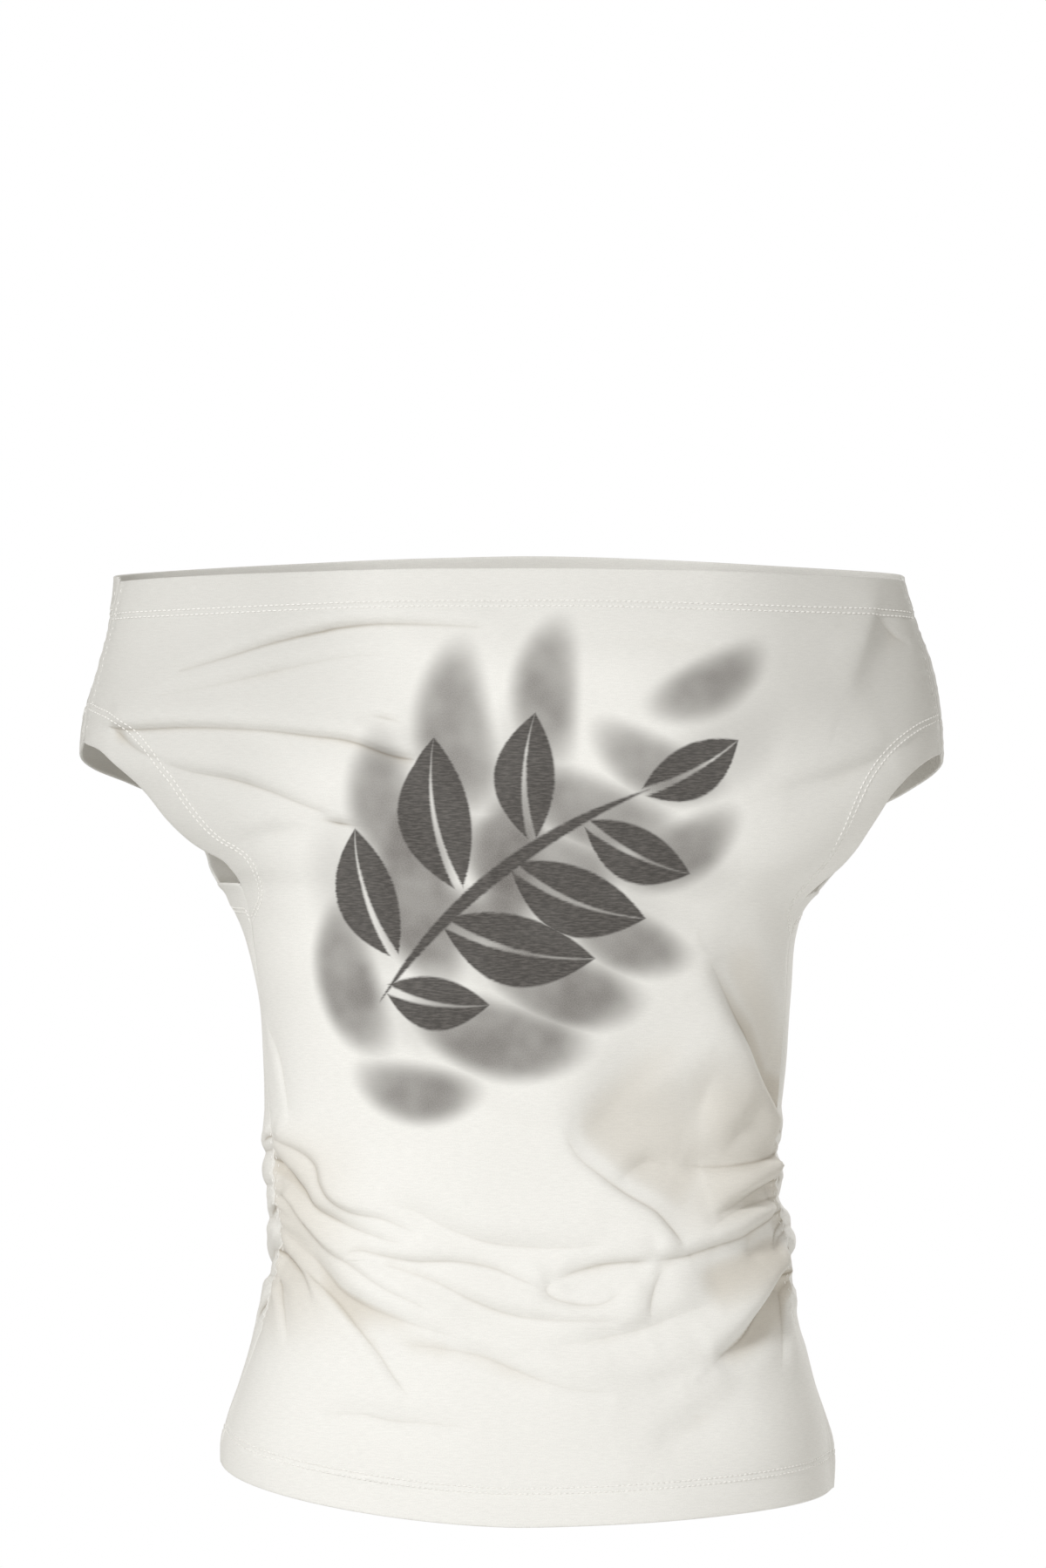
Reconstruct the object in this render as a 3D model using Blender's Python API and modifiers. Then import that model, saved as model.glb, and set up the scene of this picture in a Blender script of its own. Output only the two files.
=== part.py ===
"""Off-shoulder jersey top, worn shape: two panels with turned hems, gathered at the side seams.

Metres, +Z up, the front faces -Y and its wearer's right is at -X. The origin lies midway between
the two upper shoulder corners, at the height of the neckline. The cloth follows a stack of level
rings. A point on it is given by its turn (the bearing from centre front, seen from above, negative
to the viewer's left) and its height.
"""

from collections import namedtuple

import bmesh
import bpy
import numpy as np

MM = 0.001

# Cloth, turned hems and the gaps that keep neighbouring pieces apart
WALL = 1.2 * MM
HEM_WALL = 1.0 * MM
LAYER_GAP = 0.3 * MM
SEAM_GAP = 0.5 * MM
HEM_DEPTH = 20 * MM

# Upper and lower edges: heights at the left seam, centre and right seam
NECK_FRONT = (-2.5 * MM, 3 * MM, -2 * MM)
NECK_BACK = (-0.5 * MM, 13 * MM, 0 * MM)
BOTTOM_FRONT = (-461 * MM, -487 * MM, -475 * MM)
BOTTOM_BACK = (-461 * MM, -483 * MM, -475 * MM)

# Heights of the cross rows: where the shoulder rows end at the centre, where the armhole rows end
SHOULDER_ROWS_END = -66 * MM
ARMHOLE_ROWS_END = -205 * MM
GATHERS_TOP = -285 * MM
GATHERS_FOOT = -405 * MM

# How the panels are divided
HALF_COLUMNS = 13
SHOULDER_ROWS = 3
ARMHOLE_ROWS = 9
UPPER_SIDE_ROWS = 5
GATHERED_ROWS = 10
LOWER_SIDE_ROWS = 2
SEAM_CELL = 3 * MM
SAME_PLACE = 0.001 * MM
ROW_SAG = 1.6
FINE_STEPS = 160

# Level rings of the worn shape, in millimetres: half widths to the viewer's left and right, depths
# in front of and behind the shoulder line, and the power of the rounded outline (2 is an ellipse).
Ring = namedtuple("Ring", "height left right front back fullness")
RINGS = (
    Ring(15, 210.5, 199, 70, 72, 2.00),
    Ring(0, 210.7, 200.5, 73, 75, 2.00),
    Ring(-23, 215.0, 207, 80, 79, 2.00),
    Ring(-47, 221.6, 214.3, 88, 83, 2.02),
    Ring(-71, 227.7, 219, 94, 86, 2.04),
    Ring(-93, 229.6, 220.6, 99, 88, 2.06),
    Ring(-110, 218.5, 215, 102, 88, 2.10),
    Ring(-130, 200.5, 199, 104, 88, 2.14),
    Ring(-150, 172.5, 177, 105, 87, 2.18),
    Ring(-160, 158, 162, 105, 86, 2.20),
    Ring(-170, 151.5, 151.5, 104.5, 85, 2.22),
    Ring(-186, 143.3, 145.2, 103.5, 84, 2.25),
    Ring(-215, 136.5, 141.2, 100, 80, 2.30),
    Ring(-258, 134.0, 137.2, 93, 75, 2.35),
    Ring(-293, 133.8, 136.5, 88, 71, 2.35),
    Ring(-318, 135.4, 137, 87, 71, 2.35),
    Ring(-344, 130.4, 142.5, 88, 74, 2.35),
    Ring(-354, 131.8, 144.2, 88.7, 76, 2.35),
    Ring(-384, 136.5, 144.8, 92, 83, 2.35),
    Ring(-403, 141.0, 149.5, 94, 87, 2.32),
    Ring(-420, 146.5, 153.8, 95.5, 90, 2.30),
    Ring(-437, 152.5, 159, 96.5, 93, 2.28),
    Ring(-454, 156.0, 162.5, 97, 96, 2.25),
    Ring(-495, 156.0, 163, 98, 101, 2.20),
)

# Seam lines: bearing from centre front, in degrees, at each height. The shoulder seams end at the
# armholes; the side seams start below them, set forward on the body.
Seam = namedtuple("Seam", "height left right")
SHOULDER_SEAM = (
    Seam(15, 86.5, 87),
    Seam(-20, 87, 87.5),
    Seam(-55, 86.5, 87),
    Seam(-93, 86.2, 86.2),
)
SIDE_SEAM = (
    Seam(-155, 71.5, 76.5),
    Seam(-170, 72.8, 75.8),
    Seam(-180, 74.9, 76),
    Seam(-193, 79, 76.8),
    Seam(-228, 84.5, 79.6),
    Seam(-258, 82, 80.8),
    Seam(-302, 76.2, 80.6),
    Seam(-332, 75, 80),
    Seam(-374, 78.4, 81),
    Seam(-420, 84, 85),
    Seam(-490, 87, 87),
)

# Armhole edges from the shoulder seam down to the side seam: bearing in degrees, height in mm
Edge = namedtuple("Edge", "turn height")
ARMHOLES = {
    ("front", "left"): (
        Edge(86.2, -86),
        Edge(80.5, -92.5),
        Edge(76.5, -108),
        Edge(75, -122),
        Edge(73.5, -138),
        Edge(70.5, -148),
        Edge(68, -151),
        Edge(71.8, -160),
    ),
    ("back", "left"): (
        Edge(86.2, -86),
        Edge(93, -99),
        Edge(101, -113),
        Edge(105, -128),
        Edge(103, -143),
        Edge(97, -154.5),
        Edge(85, -160),
        Edge(71.8, -160),
    ),
    ("front", "right"): (
        Edge(86.2, -92),
        Edge(81, -98),
        Edge(77, -110),
        Edge(75.7, -125),
        Edge(76.3, -141),
        Edge(77, -153),
        Edge(75.8, -167),
    ),
    ("back", "right"): (
        Edge(86.2, -92),
        Edge(93, -103),
        Edge(100, -117),
        Edge(103, -131),
        Edge(101, -146),
        Edge(95, -158),
        Edge(86, -165),
        Edge(75.8, -167),
    ),
}

# Largest folds, in millimetres: three points (distance round the ring from the panel's centre,
# height), half width, and depth at each end (a trough is positive, a ridge negative).
Fold = namedtuple("Fold", "across0 height0 across1 height1 across2 height2 width start end")
FOLDS = {
    "front": (
        Fold(-222, -79, -137, -80, -53, -95, 11, 2.5, 1.0),
        Fold(-174, -48, -109, -31, -16, -28, 11, 2.0, 0.8),
        Fold(109, -205, 130, -232, 162, -276, 12, 1.5, 4.0),
        Fold(166, -309, 120, -318, 85, -330, 10, 4.5, 1.5),
        Fold(167, -358, 130, -383, 102, -410, 12, 4.5, 2.0),
        Fold(85, -345, 37, -357, 13, -369, 12, 1.5, 2.0),
        Fold(-149, -300, -117, -320, -71, -341, 11, 4.0, 2.0),
        Fold(-140, -340, -91, -372, -30, -391, 13, 3.5, 1.5),
        Fold(-118, -365, -82, -395, -57, -424, 12, 1.5, 1.0),
        Fold(17, -290, 41, -314, 84, -347, 13, -1.5, -2.0),
        Fold(-71, -321, -30, -339, 37, -345, 12, 1.0, 1.5),
    ),
    "back": (
        Fold(150, -62, 70, -66, -20, -58, 13, 1.5, 0.8),
        Fold(-170, -70, -110, -84, -40, -90, 12, 2.0, 0.8),
        Fold(-150, -298, -104, -318, -50, -330, 11, 4.0, 1.5),
        Fold(-150, -345, -96, -362, -38, -372, 12, 4.5, 1.5),
        Fold(-150, -378, -120, -400, -96, -428, 12, 3.5, 1.0),
        Fold(150, -306, 96, -330, 30, -338, 11, 4.0, 1.5),
        Fold(150, -352, 112, -376, 60, -392, 12, 4.5, 1.5),
        Fold(60, -300, 0, -318, -60, -306, 14, 1.5, 1.5),
    ),
}

CLOTH_COLOUR = (0.84, 0.82, 0.78, 1.0)
HEM_COLOUR = (0.78, 0.76, 0.72, 1.0)
CLOTH_ROUGHNESS = 0.85

SIGN = {"left": -1, "right": 1}


def smooth_profile(keys, values):
    """A monotone cubic through a table's column, as a function of the key."""
    keys, values = np.array(keys, float), np.array(values, float)
    if keys[0] > keys[-1]:
        keys, values = keys[::-1], values[::-1]
    step = np.diff(keys)
    slope = np.diff(values) / step
    tangent = np.concatenate([slope[:1], (slope[:-1] + slope[1:]) / 2, slope[-1:]])
    turning = slope[:-1] * slope[1:] <= 0
    tangent[1:-1][turning] = 0
    limit = 3 * np.minimum(np.abs(np.append(slope, slope[-1])), np.abs(np.append(slope[0], slope)))
    tangent = np.clip(tangent, -limit, limit)
    fine = np.linspace(keys[0], keys[-1], 1500)
    cell = np.clip(np.searchsorted(keys, fine, side="right") - 1, 0, len(step) - 1)
    t = (fine - keys[cell]) / step[cell]
    curve = (
        (2 * t**3 - 3 * t**2 + 1) * values[cell]
        + (t**3 - 2 * t**2 + t) * step[cell] * tangent[cell]
        + (3 * t**2 - 2 * t**3) * values[cell + 1]
        + (t**3 - t**2) * step[cell] * tangent[cell + 1]
    )
    return lambda at: np.interp(at, fine, curve)


def table_profile(table, column, unit):
    """One named column of a table as a function of height in metres."""
    return smooth_profile([row.height * MM for row in table], [getattr(row, column) * unit for row in table])


RING = {name: table_profile(RINGS, name, MM) for name in ("left", "right", "front", "back")}
RING["fullness"] = table_profile(RINGS, "fullness", 1)
SEAM = {
    (seam, side): table_profile(table, side, np.pi / 180)
    for seam, table in (("shoulder", SHOULDER_SEAM), ("side", SIDE_SEAM))
    for side in ("left", "right")
}


def ring_point(turn, height):
    """Point of the worn shape at a bearing (radians) and height."""
    across, ahead = np.sin(turn), np.cos(turn)
    width = np.where(across < 0, RING["left"](height), RING["right"](height))
    depth = np.where(ahead > 0, RING["front"](height), RING["back"](height))
    power = RING["fullness"](height)
    reach = (np.abs(across / width) ** power + np.abs(ahead / depth) ** power) ** (-1 / power)
    return np.stack([reach * across, -reach * ahead, height + 0 * reach], axis=-1)


def ring_slopes(turn, height):
    """Change of the point with bearing and with height, and the outward normal."""
    step = 1e-4
    by_turn = (ring_point(turn + step, height) - ring_point(turn - step, height)) / (2 * step)
    by_height = (ring_point(turn, height + step) - ring_point(turn, height - step)) / (2 * step)
    normal = np.cross(by_turn, by_height)
    return by_turn, by_height, normal / np.linalg.norm(normal, axis=-1, keepdims=True)


def centre_turn(panel, side):
    return 0.0 if panel == "front" else SIGN[side] * np.pi


def seam_turn(panel, seam, side, height):
    """Bearing of a panel's edge along a seam, drawn back by half of the seam's gap."""
    turn = SEAM[seam, side](height)
    reach = np.linalg.norm(ring_point(SIGN[side] * turn, height)[..., :2], axis=-1)
    away = 1 if panel == "back" else -1
    return SIGN[side] * (turn + away * SEAM_GAP / 2 / reach)


def length_along(points):
    steps = np.linalg.norm(np.diff(points, axis=0), axis=1)
    return np.concatenate([[0], np.cumsum(steps)])


def half_row(panel, side, end_turn, end_height, centre_height):
    """(turn, height) at each column from the panel's centre to this end, even along the cloth."""
    share = np.linspace(0, 1, FINE_STEPS)
    start = centre_turn(panel, side)
    turn = start + (end_turn - start) * share
    level = length_along(ring_point(turn, np.full(FINE_STEPS, end_height)))
    height = centre_height + (end_height - centre_height) * (level / level[-1]) ** ROW_SAG
    length = length_along(ring_point(turn, height))
    columns = np.append(np.linspace(0, length[-1] - SEAM_CELL, HALF_COLUMNS), length[-1])
    return np.stack([np.interp(columns, length, turn), np.interp(columns, length, height)], axis=-1)


def full_row(panel, left_end, right_end, centre_height):
    left = half_row(panel, "left", *left_end, centre_height)
    right = half_row(panel, "right", *right_end, centre_height)
    return np.concatenate([left[::-1], right[1:]])


def armhole_strip(panel, side):
    """(turn, height) of the armhole's turned strip: its edge, middle and stitched line, row by row."""
    table = ARMHOLES[panel, side]
    along = np.arange(len(table))
    fine = np.linspace(0, len(table) - 1, FINE_STEPS)
    turn = SIGN[side] * np.radians(smooth_profile(along, [row.turn for row in table])(fine))
    height = smooth_profile(along, [row.height * MM for row in table])(fine)
    turn[0] = seam_turn(panel, "shoulder", side, height[0])
    turn[-1] = seam_turn(panel, "side", side, height[-1])
    length = length_along(ring_point(turn, height))
    rows = np.linspace(SEAM_CELL, length[-1] - SEAM_CELL, ARMHOLE_ROWS - 1)
    rows = np.concatenate([[0], rows, [length[-1]]])
    turn, height = np.interp(rows, length, turn), np.interp(rows, length, height)

    edge = ring_point(turn, height)
    by_turn, by_height, normal = ring_slopes(turn, height)
    inward = np.cross(normal, np.gradient(edge, axis=0))
    inward *= SIGN[side] * (-1 if panel == "front" else 1)
    ends = []
    for row, seam, step in ((0, "shoulder", HEM_DEPTH), (-1, "side", -HEM_DEPTH)):
        seam_height = height[row] + step
        ends.append((seam_turn(panel, seam, side, seam_height), seam_height))
        inward[row] = ring_point(*ends[-1]) - edge[row]
    inward /= np.linalg.norm(inward, axis=1, keepdims=True)
    for _ in range(4):
        inward[1:-1] = inward[:-2] + 2 * inward[1:-1] + inward[2:]
        inward /= np.linalg.norm(inward, axis=1, keepdims=True)
    lines = [np.stack([turn, height], axis=-1)]
    for depth in (HEM_DEPTH / 2, HEM_DEPTH):
        line = np.empty((len(turn), 2))
        for row, (a, b, move) in enumerate(zip(by_turn, by_height, inward * depth)):
            change = np.linalg.lstsq(np.stack([a, b], axis=1), move, rcond=None)[0]
            line[row] = turn[row] + change[0], height[row] + change[1]
        for row, seam, step in ((0, "shoulder", depth), (-1, "side", -depth)):
            line[row] = seam_turn(panel, seam, side, height[row] + step), height[row] + step
        lines.append(line)
    return np.stack(lines, axis=1)


def side_row_heights(top, foot):
    """Heights of the rows along a side seam, closer together in the gathers."""
    return np.concatenate(
        [
            np.linspace(top, GATHERS_TOP, UPPER_SIDE_ROWS + 1)[1:],
            np.linspace(GATHERS_TOP, GATHERS_FOOT, GATHERED_ROWS + 1)[1:],
            np.linspace(GATHERS_FOOT, foot, LOWER_SIDE_ROWS + 1)[1:],
        ]
    )


def row_ends(panel, side, neck, bottom, strip):
    """(turn, height) where each row of the main sheet ends on this side."""
    shoulder = np.linspace(neck - HEM_DEPTH, strip[0, 2, 1], SHOULDER_ROWS + 1)[:-1]
    shoulder = np.concatenate([[neck], shoulder])
    flank = np.append(side_row_heights(strip[-1, 2, 1], bottom + HEM_DEPTH), bottom)
    return np.concatenate(
        [
            np.stack([seam_turn(panel, "shoulder", side, shoulder), shoulder], axis=-1),
            strip[:, 2],
            np.stack([seam_turn(panel, "side", side, flank), flank], axis=-1),
        ]
    )


def centre_heights(neck, bottom):
    side_rows = side_row_heights(ARMHOLE_ROWS_END, bottom + HEM_DEPTH)
    armhole = np.linspace(SHOULDER_ROWS_END, ARMHOLE_ROWS_END, ARMHOLE_ROWS + 1)
    shoulder = np.linspace(neck - HEM_DEPTH, SHOULDER_ROWS_END, SHOULDER_ROWS + 1)[:-1]
    return np.concatenate([[neck], shoulder, armhole, side_rows, [bottom]])


def distance_round(panel, turn, height):
    """Signed distance along the ring from the panel's centre line."""
    start = np.where(turn < 0, centre_turn(panel, "left"), centre_turn(panel, "right"))
    share = np.linspace(0, 1, 60)[:, None, None]
    path = ring_point(start + (turn - start) * share, height + 0 * share)
    return np.sign(turn) * np.linalg.norm(np.diff(path, axis=0), axis=-1).sum(axis=0)


def fold_relief(fold, across, height):
    """How far a fold sets the cloth in, at each point."""
    t = np.linspace(0, 1, 25)
    bend = np.array([(1 - t) ** 2, 2 * t * (1 - t), t**2])
    path_across = np.array([fold.across0, fold.across1, fold.across2]) @ bend * MM
    path_height = np.array([fold.height0, fold.height1, fold.height2]) @ bend * MM
    gap = np.hypot(across[..., None] - path_across, height[..., None] - path_height)
    nearest = gap.argmin(axis=-1)
    depth = (fold.start + (fold.end - fold.start) * t[nearest]) * MM
    return depth * np.exp(-((gap.min(axis=-1) / (fold.width * MM)) ** 2))


def cloth_points(panel, places, fade):
    """Points of a sheet of (turn, height) places, with the panel's largest folds."""
    turn, height = places[..., 0], places[..., 1]
    across = distance_round(panel, turn, height)
    relief = sum(fold_relief(fold, across, height) for fold in FOLDS[panel])
    _, _, normal = ring_slopes(turn, height)
    return ring_point(turn, height) - normal * (relief * fade)[..., None]


def grid_into(mesh, points):
    """Adds a grid of quads through an array of points, row by row."""
    rows, columns = points.shape[:2]
    made = bmesh.ops.create_grid(mesh, x_segments=columns - 1, y_segments=rows - 1, size=1)["verts"]
    for vertex, place in zip(made, points.reshape(-1, 3)):
        vertex.co = place


def finish(name, mesh, thickness, colour, collection):
    """Turns an open sheet into a walled object: the sheet is the outer face."""
    data = bpy.data.meshes.new(name)
    mesh.to_mesh(data)
    mesh.free()
    data.shade_smooth()
    piece = bpy.data.objects.new(name, data)
    collection.objects.link(piece)
    wall = piece.modifiers.new("wall", "SOLIDIFY")
    wall.thickness = thickness
    wall.offset = -1
    material = bpy.data.materials.new(name)
    material.use_nodes = True
    shader = material.node_tree.nodes["Principled BSDF"]
    shader.inputs["Base Color"].default_value = colour
    shader.inputs["Roughness"].default_value = CLOTH_ROUGHNESS
    shader.inputs["Metallic"].default_value = 0
    data.materials.append(material)


def face_outward(mesh, panel):
    """The grids run left to right and downwards, which faces the back panel out and the front in."""
    if panel == "front":
        bmesh.ops.reverse_faces(mesh, faces=mesh.faces)
    mesh.normal_update()


def normals_at(mesh, points):
    """The mesh's normals at an array of its points."""
    places = np.array([vertex.co[:] for vertex in mesh.verts])
    directions = np.array([vertex.normal[:] for vertex in mesh.verts])
    nearest = [((places - point) ** 2).sum(axis=1).argmin() for point in points.reshape(-1, 3)]
    return directions[nearest].reshape(points.shape)


def make_hem(name, panel, points, normals, collection):
    """A turned hem: the panel's own points, set in by its wall and the layer gap."""
    mesh = bmesh.new()
    grid_into(mesh, points - normals * (WALL + LAYER_GAP))
    face_outward(mesh, panel)
    finish(name, mesh, HEM_WALL, HEM_COLOUR, collection)


def make_panel(panel, neck, bottom, collection):
    """A panel, its two armhole strips and its turned hems."""
    strips = {side: armhole_strip(panel, side) for side in SIGN}
    left = row_ends(panel, "left", neck[0], bottom[0], strips["left"])
    right = row_ends(panel, "right", neck[2], bottom[2], strips["right"])
    heights = centre_heights(neck[1], bottom[1])
    sheet = np.stack([full_row(panel, *ends) for ends in zip(left, right, heights)])
    column = np.arange(sheet.shape[1])
    from_seam = np.minimum(column, column[::-1])
    fade = np.broadcast_to(np.clip(from_seam - 1, 0, 1), sheet.shape[:2])
    points = {"main": cloth_points(panel, sheet, fade)}
    for side, strip in strips.items():
        ordered = strip if side == "left" else strip[:, ::-1]
        points[side] = cloth_points(panel, ordered, np.zeros(ordered.shape[:2]))

    mesh = bmesh.new()
    for grid in points.values():
        grid_into(mesh, grid)
    bmesh.ops.remove_doubles(mesh, verts=mesh.verts, dist=SAME_PLACE)
    face_outward(mesh, panel)
    normals = {key: normals_at(mesh, grid) for key, grid in points.items()}
    finish(panel, mesh, WALL, CLOTH_COLOUR, collection)

    neck_rows, bottom_rows = slice(0, 2), slice(-2, None)
    make_hem(f"{panel}_neck_hem", panel, points["main"][neck_rows], normals["main"][neck_rows], collection)
    make_hem(f"{panel}_bottom_hem", panel, points["main"][bottom_rows], normals["main"][bottom_rows], collection)
    for side in SIGN:
        make_hem(f"{panel}_armhole_hem_{side}", panel, points[side], normals[side], collection)


def main():
    for old in list(bpy.data.objects):
        bpy.data.objects.remove(old, do_unlink=True)
    collection = bpy.data.collections.new("off_shoulder_top")
    bpy.context.scene.collection.children.link(collection)
    make_panel("front", NECK_FRONT, BOTTOM_FRONT, collection)
    make_panel("back", NECK_BACK, BOTTOM_BACK, collection)


main()
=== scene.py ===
"""Off-shoulder jersey top in its worn shape, with ruched side seams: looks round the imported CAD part.

Metres, +Z up, the front faces -Y. A place on the cloth is given by its turn (the bearing from centre
front, seen from above, negative to the viewer's left) and its height.
"""

import bmesh
import bpy
import numpy as np
from collections import namedtuple
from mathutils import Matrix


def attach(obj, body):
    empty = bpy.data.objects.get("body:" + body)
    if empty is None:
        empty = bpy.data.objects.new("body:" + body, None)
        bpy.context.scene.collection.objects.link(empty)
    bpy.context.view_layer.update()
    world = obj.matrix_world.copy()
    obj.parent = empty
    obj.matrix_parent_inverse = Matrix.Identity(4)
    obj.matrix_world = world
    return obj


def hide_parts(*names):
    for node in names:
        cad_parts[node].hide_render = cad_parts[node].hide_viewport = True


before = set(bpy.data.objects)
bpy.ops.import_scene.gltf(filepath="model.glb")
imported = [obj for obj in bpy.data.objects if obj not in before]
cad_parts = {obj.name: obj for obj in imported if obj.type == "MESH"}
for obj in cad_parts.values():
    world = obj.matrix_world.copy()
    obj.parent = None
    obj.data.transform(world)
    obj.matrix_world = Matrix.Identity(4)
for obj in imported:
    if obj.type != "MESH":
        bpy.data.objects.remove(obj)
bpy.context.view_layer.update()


# ---------------------------------------------------------------- front panel
# The front is one panel of thin ivory cotton jersey, cut with a straight wide neckline. Its neck, armhole
# and bottom edges are each turned under once by 20 mm; the side edges run in small gathers into the side
# seams. A bold leaf print with two blurred echoes sits on the chest.
MM = 0.001
JERSEY = 0.62 * MM  # thickness of the cloth
FOLD_RADIUS = 0.8 * MM  # of a turned edge
HEM_DEPTH = 20 * MM
HEM_NEEDLES = (17.2, 20.0)  # depths of the two stitched rows from a turned edge, in millimetres
SEAM_HALF_GAP = 0.12 * MM
SIGN = {"left": -1, "right": 1}

# Heights of the neck and bottom edges at the left seam, the centre line and the right seam
NECK = {"front": (-2.5 * MM, 3 * MM, -2 * MM), "back": (-0.5 * MM, 13 * MM, 0 * MM)}
BOTTOM = {"front": (-461 * MM, -487 * MM, -475 * MM), "back": (-461 * MM, -483 * MM, -475 * MM)}

# Level rings of the worn shape, in millimetres: half widths to the viewer's left and right, depths
# in front of and behind the shoulder line, and the power of the rounded outline (2 is an ellipse).
Ring = namedtuple("Ring", "height left right front back fullness")
RINGS = (
    Ring(15, 210.5, 199, 70, 72, 2.00),
    Ring(0, 210.7, 200.5, 73, 75, 2.00),
    Ring(-23, 215.0, 207, 80, 79, 2.00),
    Ring(-47, 221.6, 214.3, 88, 83, 2.02),
    Ring(-71, 227.7, 219, 94, 86, 2.04),
    Ring(-93, 229.6, 220.6, 99, 88, 2.06),
    Ring(-110, 218.5, 215, 102, 88, 2.10),
    Ring(-130, 200.5, 199, 104, 88, 2.14),
    Ring(-150, 172.5, 177, 105, 87, 2.18),
    Ring(-160, 158, 162, 105, 86, 2.20),
    Ring(-170, 151.5, 151.5, 104.5, 85, 2.22),
    Ring(-186, 143.3, 145.2, 103.5, 84, 2.25),
    Ring(-215, 136.5, 141.2, 100, 80, 2.30),
    Ring(-258, 134.0, 137.2, 93, 75, 2.35),
    Ring(-293, 133.8, 136.5, 88, 71, 2.35),
    Ring(-318, 135.4, 137, 87, 71, 2.35),
    Ring(-344, 130.4, 142.5, 88, 74, 2.35),
    Ring(-354, 131.8, 144.2, 88.7, 76, 2.35),
    Ring(-384, 136.5, 144.8, 92, 83, 2.35),
    Ring(-403, 141.0, 149.5, 94, 87, 2.32),
    Ring(-420, 146.5, 153.8, 95.5, 90, 2.30),
    Ring(-437, 152.5, 159, 96.5, 93, 2.28),
    Ring(-454, 156.0, 162.5, 97, 96, 2.25),
    Ring(-495, 156.0, 163, 98, 101, 2.20),
)

# Seam lines: bearing from centre front, in degrees, at each height
Seam = namedtuple("Seam", "height left right")
SHOULDER_SEAM = (
    Seam(15, 86.5, 87),
    Seam(-20, 87, 87.5),
    Seam(-55, 86.5, 87),
    Seam(-93, 86.2, 86.2),
)
SIDE_SEAM = (
    Seam(-155, 71.5, 76.5),
    Seam(-170, 72.8, 75.8),
    Seam(-180, 74.9, 76),
    Seam(-193, 79, 76.8),
    Seam(-228, 84.5, 79.6),
    Seam(-258, 82, 80.8),
    Seam(-302, 76.2, 80.6),
    Seam(-332, 75, 80),
    Seam(-374, 78.4, 81),
    Seam(-420, 84, 85),
    Seam(-490, 87, 87),
)

# Armhole edges from the shoulder seam down to the side seam: bearing in degrees, height in mm
Edge = namedtuple("Edge", "turn height")
ARMHOLES = {
    ("front", "left"): (
        Edge(86.2, -86), Edge(80.5, -92.5), Edge(76.5, -108), Edge(75, -122),
        Edge(73.5, -138), Edge(70.5, -148), Edge(68, -151), Edge(71.8, -160),
    ),
    ("back", "left"): (
        Edge(86.2, -86), Edge(93, -99), Edge(101, -113), Edge(105, -128),
        Edge(103, -143), Edge(97, -154.5), Edge(85, -160), Edge(71.8, -160),
    ),
    ("front", "right"): (
        Edge(86.2, -92), Edge(81, -98), Edge(77, -110), Edge(75.7, -125),
        Edge(76.3, -141), Edge(77, -153), Edge(75.8, -167),
    ),
    ("back", "right"): (
        Edge(86.2, -92), Edge(93, -103), Edge(100, -117), Edge(103, -131),
        Edge(101, -146), Edge(95, -158), Edge(86, -165), Edge(75.8, -167),
    ),
}

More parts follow.
